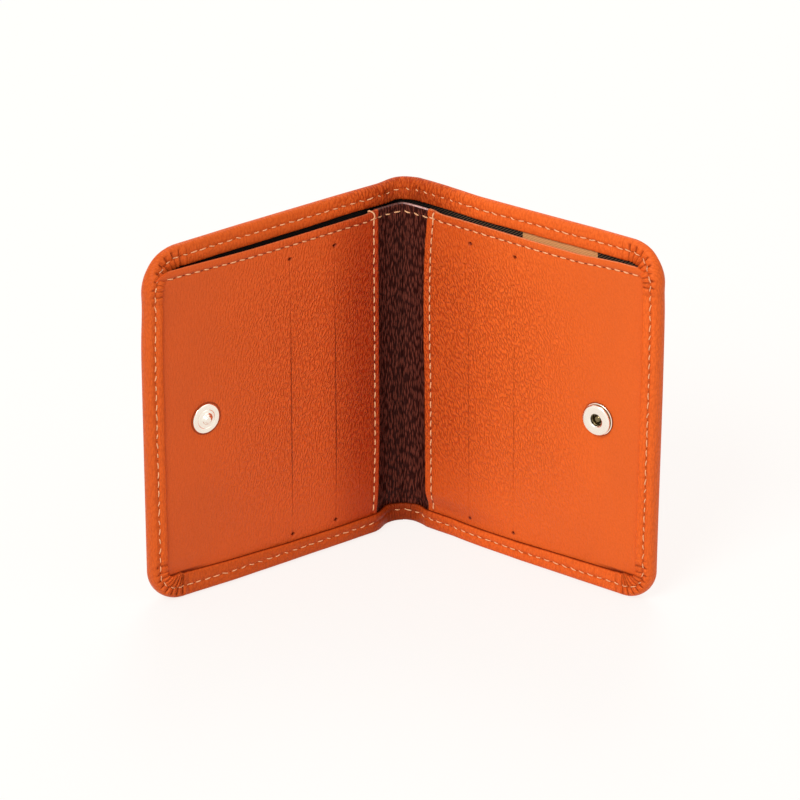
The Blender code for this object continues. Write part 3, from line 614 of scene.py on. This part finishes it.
def pleats(distance, length, count, seed):
    """Overlapping folds along a corner: a slow rise and a sharp drop, from 0 to 1."""
    drop = 0.14
    shift = np.random.default_rng(seed).uniform(-0.16, 0.16, count + 6)
    phase = distance / length * count
    whole = np.clip(np.floor(phase).astype(int) + 3, 0, count + 5)
    part = phase - np.floor(phase)
    part = part + shift[whole] * np.sin(math.pi * part)
    rise = np.clip(part / (1 - drop), 0, 1) ** 0.8
    return rise * (1 - smooth(part, 1 - drop, 1.0))


def pleated_corners(side, edge, insets, kinds, inner):
    """The pleats' relief at the two outer corners, and the shade painted into their creases."""
    relief = crease = np.zeros_like(insets)
    band = smooth(insets, 0.5, 1.5) * (1 - 0.25 * inner)
    before = 2.2
    for start, arc_length, after, seed in edge.corners:
        along = edge.length - start + before
        span = arc_length + before + after
        inside = smooth(along, -0.6, 0.8) * (1 - smooth(along, span - 0.8, span + 0.6))
        seed = seed + 10 * (side + 2)
        folds = pleats(along, span, 10, seed) * inner + pleats(along, span, 9, seed + 1) * (1 - inner)
        relief = relief + (folds - 0.6) * 0.8 * band * inside * kinds
        darkness = 0.85 * (1 - smooth(folds, 0.0, 0.45)) * band * inside
        crease = np.maximum(crease, darkness * (kinds > 0.3))
    return relief, crease


def gathers(side, edge, insets, kinds):
    """The small gathers near the spine, and the shade painted into their creases."""
    out = edge.out
    place = bell(out, 0.2, 3.2)
    place = place + (bell(out, -2.4, 4.6) - place) * edge.is_low
    ripple = np.sin(out * TWO_PI / 1.25 + 1.1 * np.sin(out * 1.7)) * 0.5
    ripple += 0.35 * np.sin(out * TWO_PI / 0.83 + side)
    relief = 0.36 * ripple * place * kinds * smooth(insets, 0.6, 1.6)
    darkness = (0.75 + 0.22 * edge.is_low) * smooth(-ripple, -0.15, 0.6) * place * kinds
    return relief, darkness * smooth(insets, 0.6, 2.0)


def hem_shade(side, edge, inner):
    """Painted shade on the hem: under the fold, where the hem turns in to the spine at the foot and the
    top, and on the left half all along its foot, side and top.
    """
    from_middle = edge.out + ARCH_LENGTH
    low = 0.34 if side < 0 else 0.34 * bell(from_middle, 0, 9)
    low = low + 0.22 * bell(from_middle, 0, 22) + 0.16 * bell(np.clip(edge.out + 4, 0, None), 0, 7)
    shade = np.maximum(low * edge.is_low, (0.3 + 0.2 * inner) * bell(edge.out, 0, 13) * edge.is_top)
    if side < 0:
        is_side = (1 - edge.is_low) * (1 - edge.is_top)
        shade = np.maximum(shade, (0.25 - 0.13 * inner) * is_side + 0.2 * edge.is_top)
    return shade


def outer_face(edge, ring_out, ring_up):
    """The outer face's places, a grid stretched over the section's first row."""
    ring = np.stack([ring_out, ring_up], -1)
    low = ring[: edge.low_middle + 1]
    right = ring[edge.low_middle : edge.high_middle + 1]
    high = ring[edge.high_middle :][::-1]
    high = interp_rows(np.linspace(0, 1, len(low)), np.linspace(0, 1, len(high)), high)
    heights = (right[:, 1] - right[0, 1]) / (right[-1, 1] - right[0, 1])
    left_up = low[0, 1] + heights * (high[0, 1] - low[0, 1])
    left = np.stack([np.full(len(right), low[0, 0]), left_up], -1)
    s = np.linspace(0, 1, len(low))[None, :, None]
    t = np.linspace(0, 1, len(right))[:, None, None]
    patch = (1 - t) * low[None] + t * high[None] + (1 - s) * left[:, None] + s * right[:, None]
    patch -= (1 - s) * (1 - t) * low[0] + s * (1 - t) * low[-1] + (1 - s) * t * high[0] + s * t * high[-1]
    return patch[..., 0], patch[..., 1]


def cover(side):
    """Half of the cover. Gives its seam's line, and the way out of the leather there."""
    name = SIDES[side]
    edge = walk_edge(side)
    count = len(edge.out)
    insets, depths, kinds = section(edge)
    # seam groove, the puffy leather on both sides of it, pleats and gathers
    off = insets - edge.seam_in
    inner = smooth(off, -0.25, 0.25)
    puff = 0.16 * np.sin(np.clip((insets - edge.roll) / (edge.hem - edge.roll), 0, 1) * math.pi)
    stitch_pull = 0.5 + 0.5 * np.cos(edge.length / STITCH_PITCH * TWO_PI)
    groove = (0.26 + 0.08 * stitch_pull) * bell(off, 0, 0.55)
    pleat_relief, pleat_shade = pleated_corners(side, edge, insets, kinds, inner)
    gather_relief, gather_shade = gathers(side, edge, insets, kinds)
    wander = np.sin(edge.length * 0.9) * 0.5 + np.sin(edge.length * 2.3 + 1.0) * 0.3
    wander = wander + np.sin(edge.length * 0.31)
    depths = depths + (puff - groove + 0.05 * wander) * kinds + pleat_relief + gather_relief
    # places of the section's points, and their unfolded places for the grain
    ring_out = edge.out + edge.in_out * insets
    ring_up = edge.up + edge.in_up * insets
    points = at(side, ring_out, ring_up + lift_of(side, ring_out, ring_up), depths)
    paces = np.hypot(np.diff(insets, axis=0), np.diff(depths, axis=0))
    unfold = FACE_IN - np.cumsum(np.vstack([np.zeros(count), paces]), 0)
    uv = [side * (edge.out + edge.in_out * unfold + ARCH_LENGTH), edge.up + edge.in_up * unfold]
    faces = grid_faces(len(insets), count, flip=side > 0)
    # the outer face, a little hollow
    face_out, face_up = outer_face(edge, ring_out[0], ring_up[0])
    across, along = np.clip(face_out / 78, 0, 1), np.clip((face_up - 6) / 98, 0, 1)
    hollow = -0.25 * np.sin(across * math.pi) * np.sin(along * math.pi)
    face_points = at(side, face_out, face_up + lift_of(side, face_out, face_up), hollow)
    face_uv = [side * (face_out + ARCH_LENGTH), face_up]
    faces += grid_faces(*face_out.shape, flip=side < 0, first=len(insets) * count)
    all_points = np.vstack([points.reshape(-1, 3), face_points.reshape(-1, 3)])
    all_uv = np.vstack([np.stack(pair, -1).reshape(-1, 2) for pair in (uv, face_uv)]) * MM
    made = make(name + "_cover_leather", all_points, faces, LOOKS["cover"], all_uv)
    # painted shade at each point: in pleats and gathers, on the hem, under its lip and in the seam's
    # groove; and how much each point belongs to the outer face
    turned = np.ones_like(kinds)
    turned[:OUTER_ROWS, 0] = smooth(np.arange(OUTER_ROWS), 4, 11)
    lip_shadow = np.zeros_like(kinds)
    lip_shadow[-6:, 0] = (0.0, 0.15, 0.55, 0.9, 0.9, 0.9)
    crease = np.maximum(pleat_shade, gather_shade)
    crease = np.maximum(crease, hem_shade(side, edge, inner) * turned)
    crease = np.maximum(crease, lip_shadow * (0.2 + 0.8 * edge.is_low))
    # painted shade in the seam's groove
    crease = np.maximum(crease, 0.34 * bell(off, 0, 0.35) * (kinds > 0.5))
    mark_points(made, "crease", np.concatenate([crease.ravel(), np.zeros(face_out.size)]))
    outer = (1 - turned * np.ones(count)).ravel()
    mark_points(made, "outer", np.concatenate([outer, np.ones(face_out.size)]))
    weld(made)
    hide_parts(name + "_cover", "spine_cover")
    bend(made)
    row = ring_out[SEAM_ROW], ring_up[SEAM_ROW]
    away = at(side, *row, depths[SEAM_ROW] + 1.0) - at(side, *row, depths[SEAM_ROW])
    return points[SEAM_ROW], unit(away)


# Panels, linings and the strip: grids of points over a half
def rounded_grid(side, outs, ups, top_corner):
    """A grid over a half, whose two outer corners are pulled onto arcs."""
    out, up = np.meshgrid(outs, ups)
    corners = ((-1, ups[0], BOTTOM_CORNER[side] - EDGE_GAP), (1, ups[-1], top_corner))
    for sign, corner_up, radius in corners:
        across = np.clip(out - (outs[-1] - radius), 0, None)
        along = np.clip(sign * (up - (corner_up - sign * radius)), 0, None)
        both = (across > 0) & (along > 0)
        scale = np.maximum(across, along) / np.maximum(np.hypot(across, along), 1e-9)
        out = np.where(both, outs[-1] - radius + across * scale, out)
        up = np.where(both, corner_up - sign * (radius - along * scale), up)
    return out, up


def with_marks(low, high, step, marks):
    """Evenly spaced values, and finer ones round each mark."""
    values = list(np.linspace(low, high, int(round((high - low) / step)) + 1))
    for mark, offsets in marks:
        reach = max(offsets) + step * 0.3
        values = [v for v in values if abs(v - mark) > reach]
        values += [mark + o for o in offsets] + [mark - o for o in offsets if o]
    return np.array(sorted(v for v in values if low <= v <= high))


def panel_at(side, out, up, depth):
    """A half's plane, its panel's top edge rising a little towards the outer end."""
    rise = np.interp(out, *PANEL_RISE[side]) * smooth(up, 60, PANEL_TOP)
    bulge = np.interp(up, *PANEL_BULGE[side]) * (1 - smooth(out, 5, 32))
    corner = (0.5 if side < 0 else 0.8) * (1 - smooth(out, 5.5, 10)) * smooth(up, 92, PANEL_TOP)
    return at(side, out - bulge, up + rise + corner, depth, flat=True)


def slit_distances(out, up):
    """How far the nearest slit and stop hole are, and where up is beside the slits."""
    from_slit = np.min([np.abs(out - mark) for mark in SLITS], axis=0)
    from_end = np.min([np.abs(up - end) for end in (SLIT_FOOT, SLIT_TOP)], axis=0)
    return from_slit, np.hypot(from_slit, from_end), (up > SLIT_FOOT) & (up < SLIT_TOP)


def panel_shade(side, out, up):
    """Painted shade on the panel, 0 to 1: in the stop holes, the faint slits and the seam grooves."""
    from_slit, from_hole, beside = slit_distances(out, up)
    middle = smooth(up, 12, 34) * (1 - smooth(up, 62, 84))
    shown = (0.06 + 0.6 * middle) if side < 0 else (0.05 + 0.22 * middle)
    dark = np.maximum(shown * beside * (from_slit < 0.12), 1 - smooth(from_hole, 0.3, 0.7))
    seam = bell(out, PANEL_START + EDGE_SEAM[side], 0.35)
    seam = np.maximum(seam, bell(up, PANEL_TOP - PANEL_SEAM, 0.35))
    return np.maximum(dark, 0.3 * seam)


def panel_face(side, out, up):
    """Depth of the card panel's face, with its slits, holes, snap seat and turned edges."""
    wave = 0.10 * np.sin(out * 0.11 + 0.6) * np.sin(up * 0.045 + 0.4)
    pillow = 0.12 * np.sin(np.clip((out - 5) / 74, 0, 1) * math.pi)
    from_slit, from_hole, beside = slit_distances(out, up)
    ridge = 0.06 * bell(from_slit, 0, 0.9) * smooth(up, 4, 14) * (1 - smooth(up, 90, 99))
    face = PANEL_FACE + wave + pillow + ridge - 0.10 * (beside & (from_slit < 0.17))
    face = face - 0.85 * (1 - smooth(from_hole, 0.3, 0.62))
    reach = np.hypot(out - SNAP_OUT[side], up - SNAP_UP[side])
    face = face - 0.2 * (1 - smooth(reach, 4.8, 6.2)) - 0.06 * (1 - smooth(reach, 5, 12))
    rolls, grooves = [], []
    for inset, seam in ((PANEL_TOP - up, PANEL_SEAM), (out - PANEL_START, EDGE_SEAM[side])):
        rolls.append(np.sin(np.clip(inset / seam, 0, 1) * math.pi) ** 0.8)
        grooves.append(bell(inset, seam, 0.45))
    face = face + 0.22 * np.maximum(*rolls) - 0.2 * np.maximum(*grooves)
    # the foot goes in under the hem
    tucked = np.minimum(face, low_thick(side, out) - 0.95)
    return tucked + (face - tucked) * smooth(up, 7.5, 13)


def card_panel(side):
    name = SIDES[side]
    out_marks = [(mark, (0, 0.1, 0.24, 0.5, 0.9)) for mark in SLITS]
    out_marks += [(PANEL_START + EDGE_SEAM[side], (0, 0.3, 0.6)), (PANEL_START + 0.6, (0, 0.3))]
    up_marks = [(mark, (0, 0.2, 0.4, 0.65)) for mark in (SLIT_FOOT, SLIT_TOP)]
    up_marks += [(PANEL_TOP - PANEL_SEAM, (0, 0.3, 0.6)), (PANEL_TOP - 1.0, (0, 0.4, 0.8))]
    outs = with_marks(PANEL_START, WIDTH - EDGE_GAP, 1.0, out_marks)
    ups = with_marks(EDGE_GAP, PANEL_TOP, 1.0, up_marks)
    out, up = rounded_grid(side, outs, ups, PANEL_TOP_CORNER)
    points = panel_at(side, out, up, panel_face(side, out, up))
    made = make_grid(name + "_panel_leather", points, LOOKS["panel"][side], side * out, up, side < 0)
    # painted shade in the panel's holes, slits and seam grooves, carried by the crease attribute
    mark_points(made, "crease", panel_shade(side, out, up))
    thicken(made, PANEL_THICK)
    edge = made.modifiers.new("edge", "BEVEL")
    edge.width = 0.38 * MM
    edge.segments = 4
    edge.limit_method = "ANGLE"
    edge.angle_limit = math.radians(60)
    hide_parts(name + "_card_panel")
    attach(made, name + "_half")


def hidden_plate(side, part, low, high, gap, depth, thick, look, start=0.5):
    """A flat layer inside a half that the outside never shows in full."""
    outs, ups = np.linspace(start, WIDTH - gap, 60), np.linspace(low, high, 70)
    out, up = rounded_grid(side, outs, ups, TOP_CORNER[side] - gap)
    if high > PANEL_TOP:
        up = up + lift_of(side, out, up)
    behind_hem = np.minimum(depth, low_thick(side, out) - 2.4)
    depth = behind_hem + (depth - behind_hem) * smooth(up, 7, 16)
    points = at(side, out, up, depth, flat=True)
    made = make_grid(f"{SIDES[side]}_{part}_layer", points, LOOKS[look], side * out, up, side < 0)
    thicken(made, thick)
    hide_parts(SIDES[side] + "_" + part)
    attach(made, SIDES[side] + "_half")


def strip(side):
    """Half of the dark strip. Gives the line that its seam follows."""
    name = SIDES[side]
    seam_up = PANEL_TOP - PANEL_SEAM
    outs = np.concatenate([np.linspace(11, 5, 5)[:-1], np.linspace(5, -4.4, 40)])
    ups = with_marks(EDGE_GAP, PANEL_TOP, 1.3, [(seam_up, (0, 0.3, 0.6))])
    out, up = np.meshgrid(outs, ups)
    lean = 1.5 * (PANEL_TOP - up) / PANEL_TOP
    depth = STRIP_FACE - lean * (1 - smooth(out, 0.0, 4.6))
    behind_hem = np.minimum(depth, low_thick(side, out) - 1.4)
    depth = behind_hem + (depth - behind_hem) * smooth(up, 6.0, 11.0)
    depth -= 0.12 * bell(up, seam_up, 0.5)
    tucked = 1.8 * smooth(out, 5.1, 6.2) * smooth(up, 90, PANEL_TOP)
    points = at(side, out, up - tucked, depth, flat=True)
    # rounds the strip's middle, and closes it there onto the other half's
    points[..., 1] -= 0.55 * np.clip((outs[-1] + 4 - out) / 4, 0, 1) ** 2 * MM
    points[..., 0] -= points[:, -1:, 0].copy() * smooth(out, 2, -4.4)
    made = make_grid(name + "_dark_strip", points, LOOKS["brown"], side * (out - outs[-1]), up, side > 0)
    thicken(made, STRIP_THICK)
    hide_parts(name + "_strip_wing", "spine_strip")
    bend(made)
    row = int(np.argmin(np.abs(ups - seam_up)))
    return points[row][outs < PANEL_START + 0.2]


def lining(side):
    name = SIDES[side]
    outs = np.concatenate([np.linspace(-ARCH_LENGTH, 6, 30)[:-1], np.linspace(6, WIDTH - EDGE_GAP, 50)])
    ups = np.linspace(EDGE_GAP, HEIGHT - EDGE_GAP, 60)
    out, up = rounded_grid(side, outs, ups, TOP_CORNER[side] - EDGE_GAP)
    up = up + lift_of(side, out, up)
    points = at(side, out, up, 1.35 + 0.6 * smooth(out, 0, 5))
    made = make_grid(name + "_lining_cloth", points, LOOKS["lining"][side], out, up, side < 0)
    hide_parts(name + "_note_lining", "spine_lining")
    bend(made)


# Threads
def smoothed(rows, reach):
    return np.stack([blurred(column, reach, 3 * reach, mode="edge") for column in rows.T], -1)


def tube(centres, across, over, sizes, first=0, sides=8):
    """Points and faces of a closed tube: a ring round each centre, over two directions."""
    turns = np.linspace(0, TWO_PI, sides, endpoint=False)[None, :, None]
    ways = across[:, None] * np.cos(turns) + over[:, None] * np.sin(turns)
    points = centres[:, None] + sizes[:, None, None] * ways
    last = first + (len(centres) - 1) * sides
    faces = grid_faces(len(centres), sides, first=first, wrap=True)
    faces.append(tuple(first + i for i in reversed(range(sides))))
    faces.append(tuple(last + i for i in range(sides)))
    return points.reshape(-1, 3), faces


def needle_hole(spot, along, over, size, first, sides=8):
    """A small dark pit for a needle hole, its darkness painted shade: a rim on the leather, and a point
    above and below it.
    """
    across = np.cross(along, over)
    points = []
    for turn in np.linspace(0, TWO_PI, sides, endpoint=False):
        place = size[0] * along * math.cos(turn) + size[1] * across * math.sin(turn)
        points.append(spot + MM * place + over * 0.03 * MM)
    points += [spot + over * 0.09 * MM, spot - over * 0.2 * MM]
    faces = []
    for i in range(sides):
        here, after = first + i, first + (i + 1) % sides
        faces += [(here, after, first + sides), (after, here, first + sides + 1)]
    return np.array(points), faces


def stitches(name, line, inward, seed, length=STITCH_LENGTH, radius=0.2, wild=0.12, hole=(0.42, 0.18),
             sunk=(), tight=()):
    """Single stitches along a line, and the needle holes between them.
    wild: how uneven they are, hole: a needle hole's radius along and across, sunk: those
    that don't show, and tight: short ones, counted back from the end."""
    rng = np.random.default_rng(seed)
    run = np.concatenate([[0], np.cumsum(np.linalg.norm(np.diff(line, axis=0), axis=1))]) / MM
    count = int(round(run[-1] / STITCH_PITCH))
    pitch = run[-1] / count

    def place_at(values):
        return interp_rows(values, run, line), unit(interp_rows(values, run, inward))

    share = np.linspace(0, 1, 9)
    swell = np.sin(math.pi * share) ** 0.55
    sizes = radius * (0.55 + 0.45 * swell) * MM
    points, faces, holes, hole_faces = [], [], [], []
    for index in range(count):
        if index in sunk:
            continue
        span = length * (1 + rng.uniform(-wild, wild)) * (0.62 if count - index in tight else 1)
        start = index * pitch + (pitch - span) / 2 + rng.uniform(-wild, wild) * 0.6
        start = min(max(start, 0.02), run[-1] - span - 0.02)
        spot, lift = place_at(start + share * span)
        across = np.cross(unit(np.gradient(spot, axis=0)), lift)
        slant = rng.uniform(-wild, wild) * 1.3 + 0.08
        centres = spot + lift * ((-0.26 + 0.40 * swell) * MM)[:, None]
        centres += across * ((share - 0.5) * 2 * slant * MM)[:, None]
        made, made_faces = tube(centres, across, lift, sizes, first=sum(map(len, points)))
        points.append(made)
        faces += made_faces
        if index == 0:
            continue
        spot, lift = place_at(np.array([index * pitch]))
        along = place_at(np.array([index * pitch + 0.3]))[0] - spot
        made, made_faces = needle_hole(spot[0], unit(along)[0], lift[0], hole, sum(map(len, holes)))
        holes.append(made)
        hole_faces += made_faces
    made = make(name, np.vstack(points), faces, LOOKS["thread"])
    pits = make(name + "_holes", np.vstack(holes), hole_faces, LOOKS["hole"])
    return made, pits


def panel_seams(side, strip_line):
    """The seams along a card panel's top and inner edge, and across the strip."""
    name = SIDES[side]
    half = name + "_half"
    edge, up = PANEL_START + EDGE_SEAM[side], PANEL_TOP - PANEL_SEAM

    def seam(label, outs, ups, replaced, seed, length):
        depths = panel_face(side, outs, ups)
        line = panel_at(side, outs, ups, depths)
        inward = unit(panel_at(side, outs, ups, depths + 1.0) - line)
        made, pits = stitches(name + label, line, inward, seed, length=length)
        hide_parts(name + replaced)
        for piece in (made, pits):
            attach(piece, half)

    outs = np.arange(WIDTH - SIDE_HEM - 1.5, PANEL_START + 0.2, -0.5)
    ups = np.arange(BOTTOM_HEM + 0.4, up + 0.4, 0.5)
    seam("_panel_top_stitches", outs, np.full(len(outs), up), "_panel_top_thread", 5 + side, STITCH_LENGTH)
    seam("_panel_edge_stitches", np.full(len(ups), edge), ups, "_panel_edge_thread", 9 + side, 2.45)
    # the thread's end goes over the panel's top edge on the left, and in below it on the right
    path = [(0.0, -0.1, 4.75), (-0.05, 0.4, 5.1), (0.05, 1.1, 5.33)]
    if side < 0:
        path += [(0.35, 1.9, 5.3), (0.8, 2.5, 5.12), (1.2, 2.78, 4.75), (1.35, 2.82, 4.3), (1.4, 2.3, 4.0)]
    else:
        path += [(0.08, 1.55, 5.2), (0.1, 1.8, 4.8), (0.1, 1.9, 4.3)]
    path = np.array(path)
    path = smoothed(interp_rows(np.linspace(0, 1, 36), np.linspace(0, 1, len(path)), path), 2)
    line = panel_at(side, edge + path[:, 0], up + path[:, 1], path[:, 2])
    along = unit(np.gradient(line, axis=0))
    across = unit(np.cross(along, np.array([0.31, -0.77, 0.55])))
    points, faces = tube(line, across, np.cross(along, across), np.full(len(line), 0.22 * MM))
    made = make(name + "_edge_loop", points, faces, LOOKS["thread"])
    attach(made, half)
    # the top seam goes on across the dark strip, which faces the viewer
    toward = unit(np.repeat([[-0.587 * side, -0.81, 0.0]], len(strip_line), 0))
    made, pits = stitches(name + "_strip_stitches", strip_line, toward, 20 + side)
    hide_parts("spine_strip_thread")
    for piece in (made, pits):
        bend(piece)


def hem_seam(side, line, inward):
    made, pits = stitches(
        SIDES[side] + "_hem_stitches", smoothed(line, 2), smoothed(inward, 3), seed=30 + side,
        radius=0.165, wild=0.24, hole=(0.2, 0.09), sunk=(1, 2, 3) if side < 0 else (),
        tight=range(1, 4 if side < 0 else 8))
    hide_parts(SIDES[side] + "_side_hem_thread", SIDES[side] + "_top_hem_thread",
                "spine_top_hem_thread", "spine_bottom_hem_thread")
    for piece in (made, pits):
        bend(piece)


# Snap
def lathe(name, side, profile, look):
    """A turned piece on a card panel, on the snap's axis."""
    turns = np.linspace(0, TWO_PI, 72, endpoint=False)
    radii, heights = np.array(profile).T[:, :, None]
    out, up = SNAP_OUT[side] + radii * np.cos(turns), SNAP_UP[side] + radii * np.sin(turns)
    faces = grid_faces(*out.shape, flip=side > 0, wrap=True)
    made = make(name, at(side, out, up, PANEL_FACE + heights, flat=True), faces, look)
    if radii.min() < 0.02:
        weld(made, 0.00003)
    made.data.set_sharp_from_angle(angle=math.radians(40))
    return made


def rounded_profile(profile, radius):
    """Rows of (radius, height), with each inner corner cut to a small round."""
    points = np.transpose(profile)
    result = [points[0]]
    for a, b, c in zip(points, points[1:], points[2:]):
        before, after = np.linalg.norm(a - b), np.linalg.norm(c - b)
        near = min(radius, before / 2.2, after / 2.2)
        start, end = b + (a - b) / before * near, b + (c - b) / after * near
        result += [start, start * 0.25 + b * 0.5 + end * 0.25, end]
    return result + [points[-1]]


# Profiles of the snap's pieces: radii, and heights over the panel's face
STUD = (
    (4.25, 4.45, 4.45, 4.2, 3.0, 2.88, 2.76, 2.64, 1.85, 1.6, 1.42, 1.08, 0.95, 0.65, 0.01),
    (0.0, 0.06, 0.20, 0.34, 0.40, 0.30, 0.30, 0.42, 0.46, 0.62, 0.98, 1.1, 1.36, 1.44, 1.42),
)
SOCKET_NECK = ((4.5, 4.36, 4.38, 4.56), (0.34, 0.4, 0.62, 0.86))
SOCKET = (
    (4.55, 4.85, 4.85, 4.65, 4.3, 4.3, 4.6, 4.6, 4.35, 3.8, 2.35, 2.0, 1.85),
    (0.0, 0.06, 0.24, 0.34, 0.34, 0.6, 0.82, 1.2, 1.42, 1.50, 1.46, 1.34, 1.15),
)
SOCKET_WELL = (
    (1.85, 2.3, 2.3, 1.75, 1.55, 1.9, 1.3, 1.1, 0.8, 0.4, 0.01),
    (1.17, 1.1, 0.7, 0.62, 0.3, 0.1, 0.02, 0.2, 0.5, 0.52, 0.42),
)


def snaps():
    for name, side, profile, look, nodes in (
        ("stud_metal", -1, rounded_profile(STUD, 0.08), "metal", ("snap_stud", "left_snap_cap")),
        # a dark brass ring that fills the socket's groove, as painted shade
        ("socket_neck", 1, np.transpose(SOCKET_NECK), "brass", ()),
        ("socket_metal", 1, rounded_profile(SOCKET, 0.1), "metal", ("snap_socket", "right_snap_cap")),
        ("socket_well", 1, rounded_profile(SOCKET_WELL, 0.06), "brass", ("snap_spring",)),
    ):
        made = lathe(name, side, profile, LOOKS[look])
        if nodes:
            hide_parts(*nodes)
        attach(made, SIDES[side] + "_half")


for side in SIDES:
    hem_line, hem_inward = cover(side)
    card_panel(side)
    panel_seams(side, strip(side))
    lining(side)
    hidden_plate(side, "board", 2.0, HEIGHT - 2.4, 2.4, 1.25, 0.7, "board")
    for part, depth, start in (
        ("divider", 2.9, 0.5),
        ("inner_slot_lining", 3.5, 9.0),
        ("outer_slot_lining", 4.0, 11.5),
    ):
        hidden_plate(side, part, 1.6, PANEL_TOP - 1.9, 2.0, depth, 0.25, "cloth", start)
    hem_seam(side, hem_line, hem_inward)
snaps()


# Camera: its place, tilt, roll and lens were solved from the photograph
camera_data = bpy.data.cameras.new("camera")
camera_data.lens = 238.5
camera_data.sensor_width = 36.0
camera_data.clip_end = 20.0
camera = add_object("camera", camera_data)
tilt = Matrix.Rotation(math.radians(63.6), 4, "X")
roll = Matrix.Rotation(math.radians(-0.147), 4, "Z")
camera.matrix_world = Matrix.Translation((-0.000755, -1.34758, 0.72066)) @ tilt @ roll
bpy.context.scene.camera = camera


# Floor and light. Seen rays get a paler floor whose shadows are faint, as in the photo.
def floor():
    n = material_nodes("pale_floor")
    seen = n.seen()
    n.done(Base_Color=n.mix(seen, (0.80, 0.79, 0.77, 1), (0.07, 0.12, 0.125, 1)), Roughness=0.9)
    glow = n.add("Emission", {"Color": (0.895, 0.820, 0.790, 1), "Strength": seen})
    both = n.add("AddShader", {0: n.shader.outputs[0], 1: glow.outputs[0]})
    n.put(n.tree.nodes["Material Output"].inputs[0], both.outputs[0])
    half = 3.0
    points = [(-half, -half, 0), (half, -half, 0), (half, half, 0), (-half, half, 0)]
    made = make("floor", points, [(0, 1, 2, 3)], n.owner)


def sky():
    """A soft even sky, at half its strength except where it is seen."""
    world = bpy.data.worlds.new("world")
    bpy.context.scene.world = world
    n = Nodes(world, "Background")
    n.done(Color=(1.0, 0.99, 0.97, 1), Strength=n.range(n.seen(), 0.0, 1.0, 0.5, 1.0))


def lamp(name, place, size, watts, colour=(1, 1, 1)):
    data = bpy.data.lights.new(name, "AREA")
    data.shape = "DISK"
    data.size = size
    data.energy = watts
    data.color = colour
    obj = add_object(name, data)
    obj.location = place
    # every lamp is turned to the wallet's lower part
    aim = Vector((0, 0, 0.05)) - Vector(place)
    obj.rotation_euler = aim.to_track_quat("-Z", "Y").to_euler()


floor()
lamp("key", (-0.62, -1.08, 1.2), 0.8, 18.8)
lamp("fill", (1.1, -0.7, 0.9), 0.9, 1.8, (1.0, 0.95, 0.92))
lamp("back", (0.1, 1.1, 1.2), 0.8, 8)
sky()
bpy.context.scene.view_settings.view_transform = "Standard"
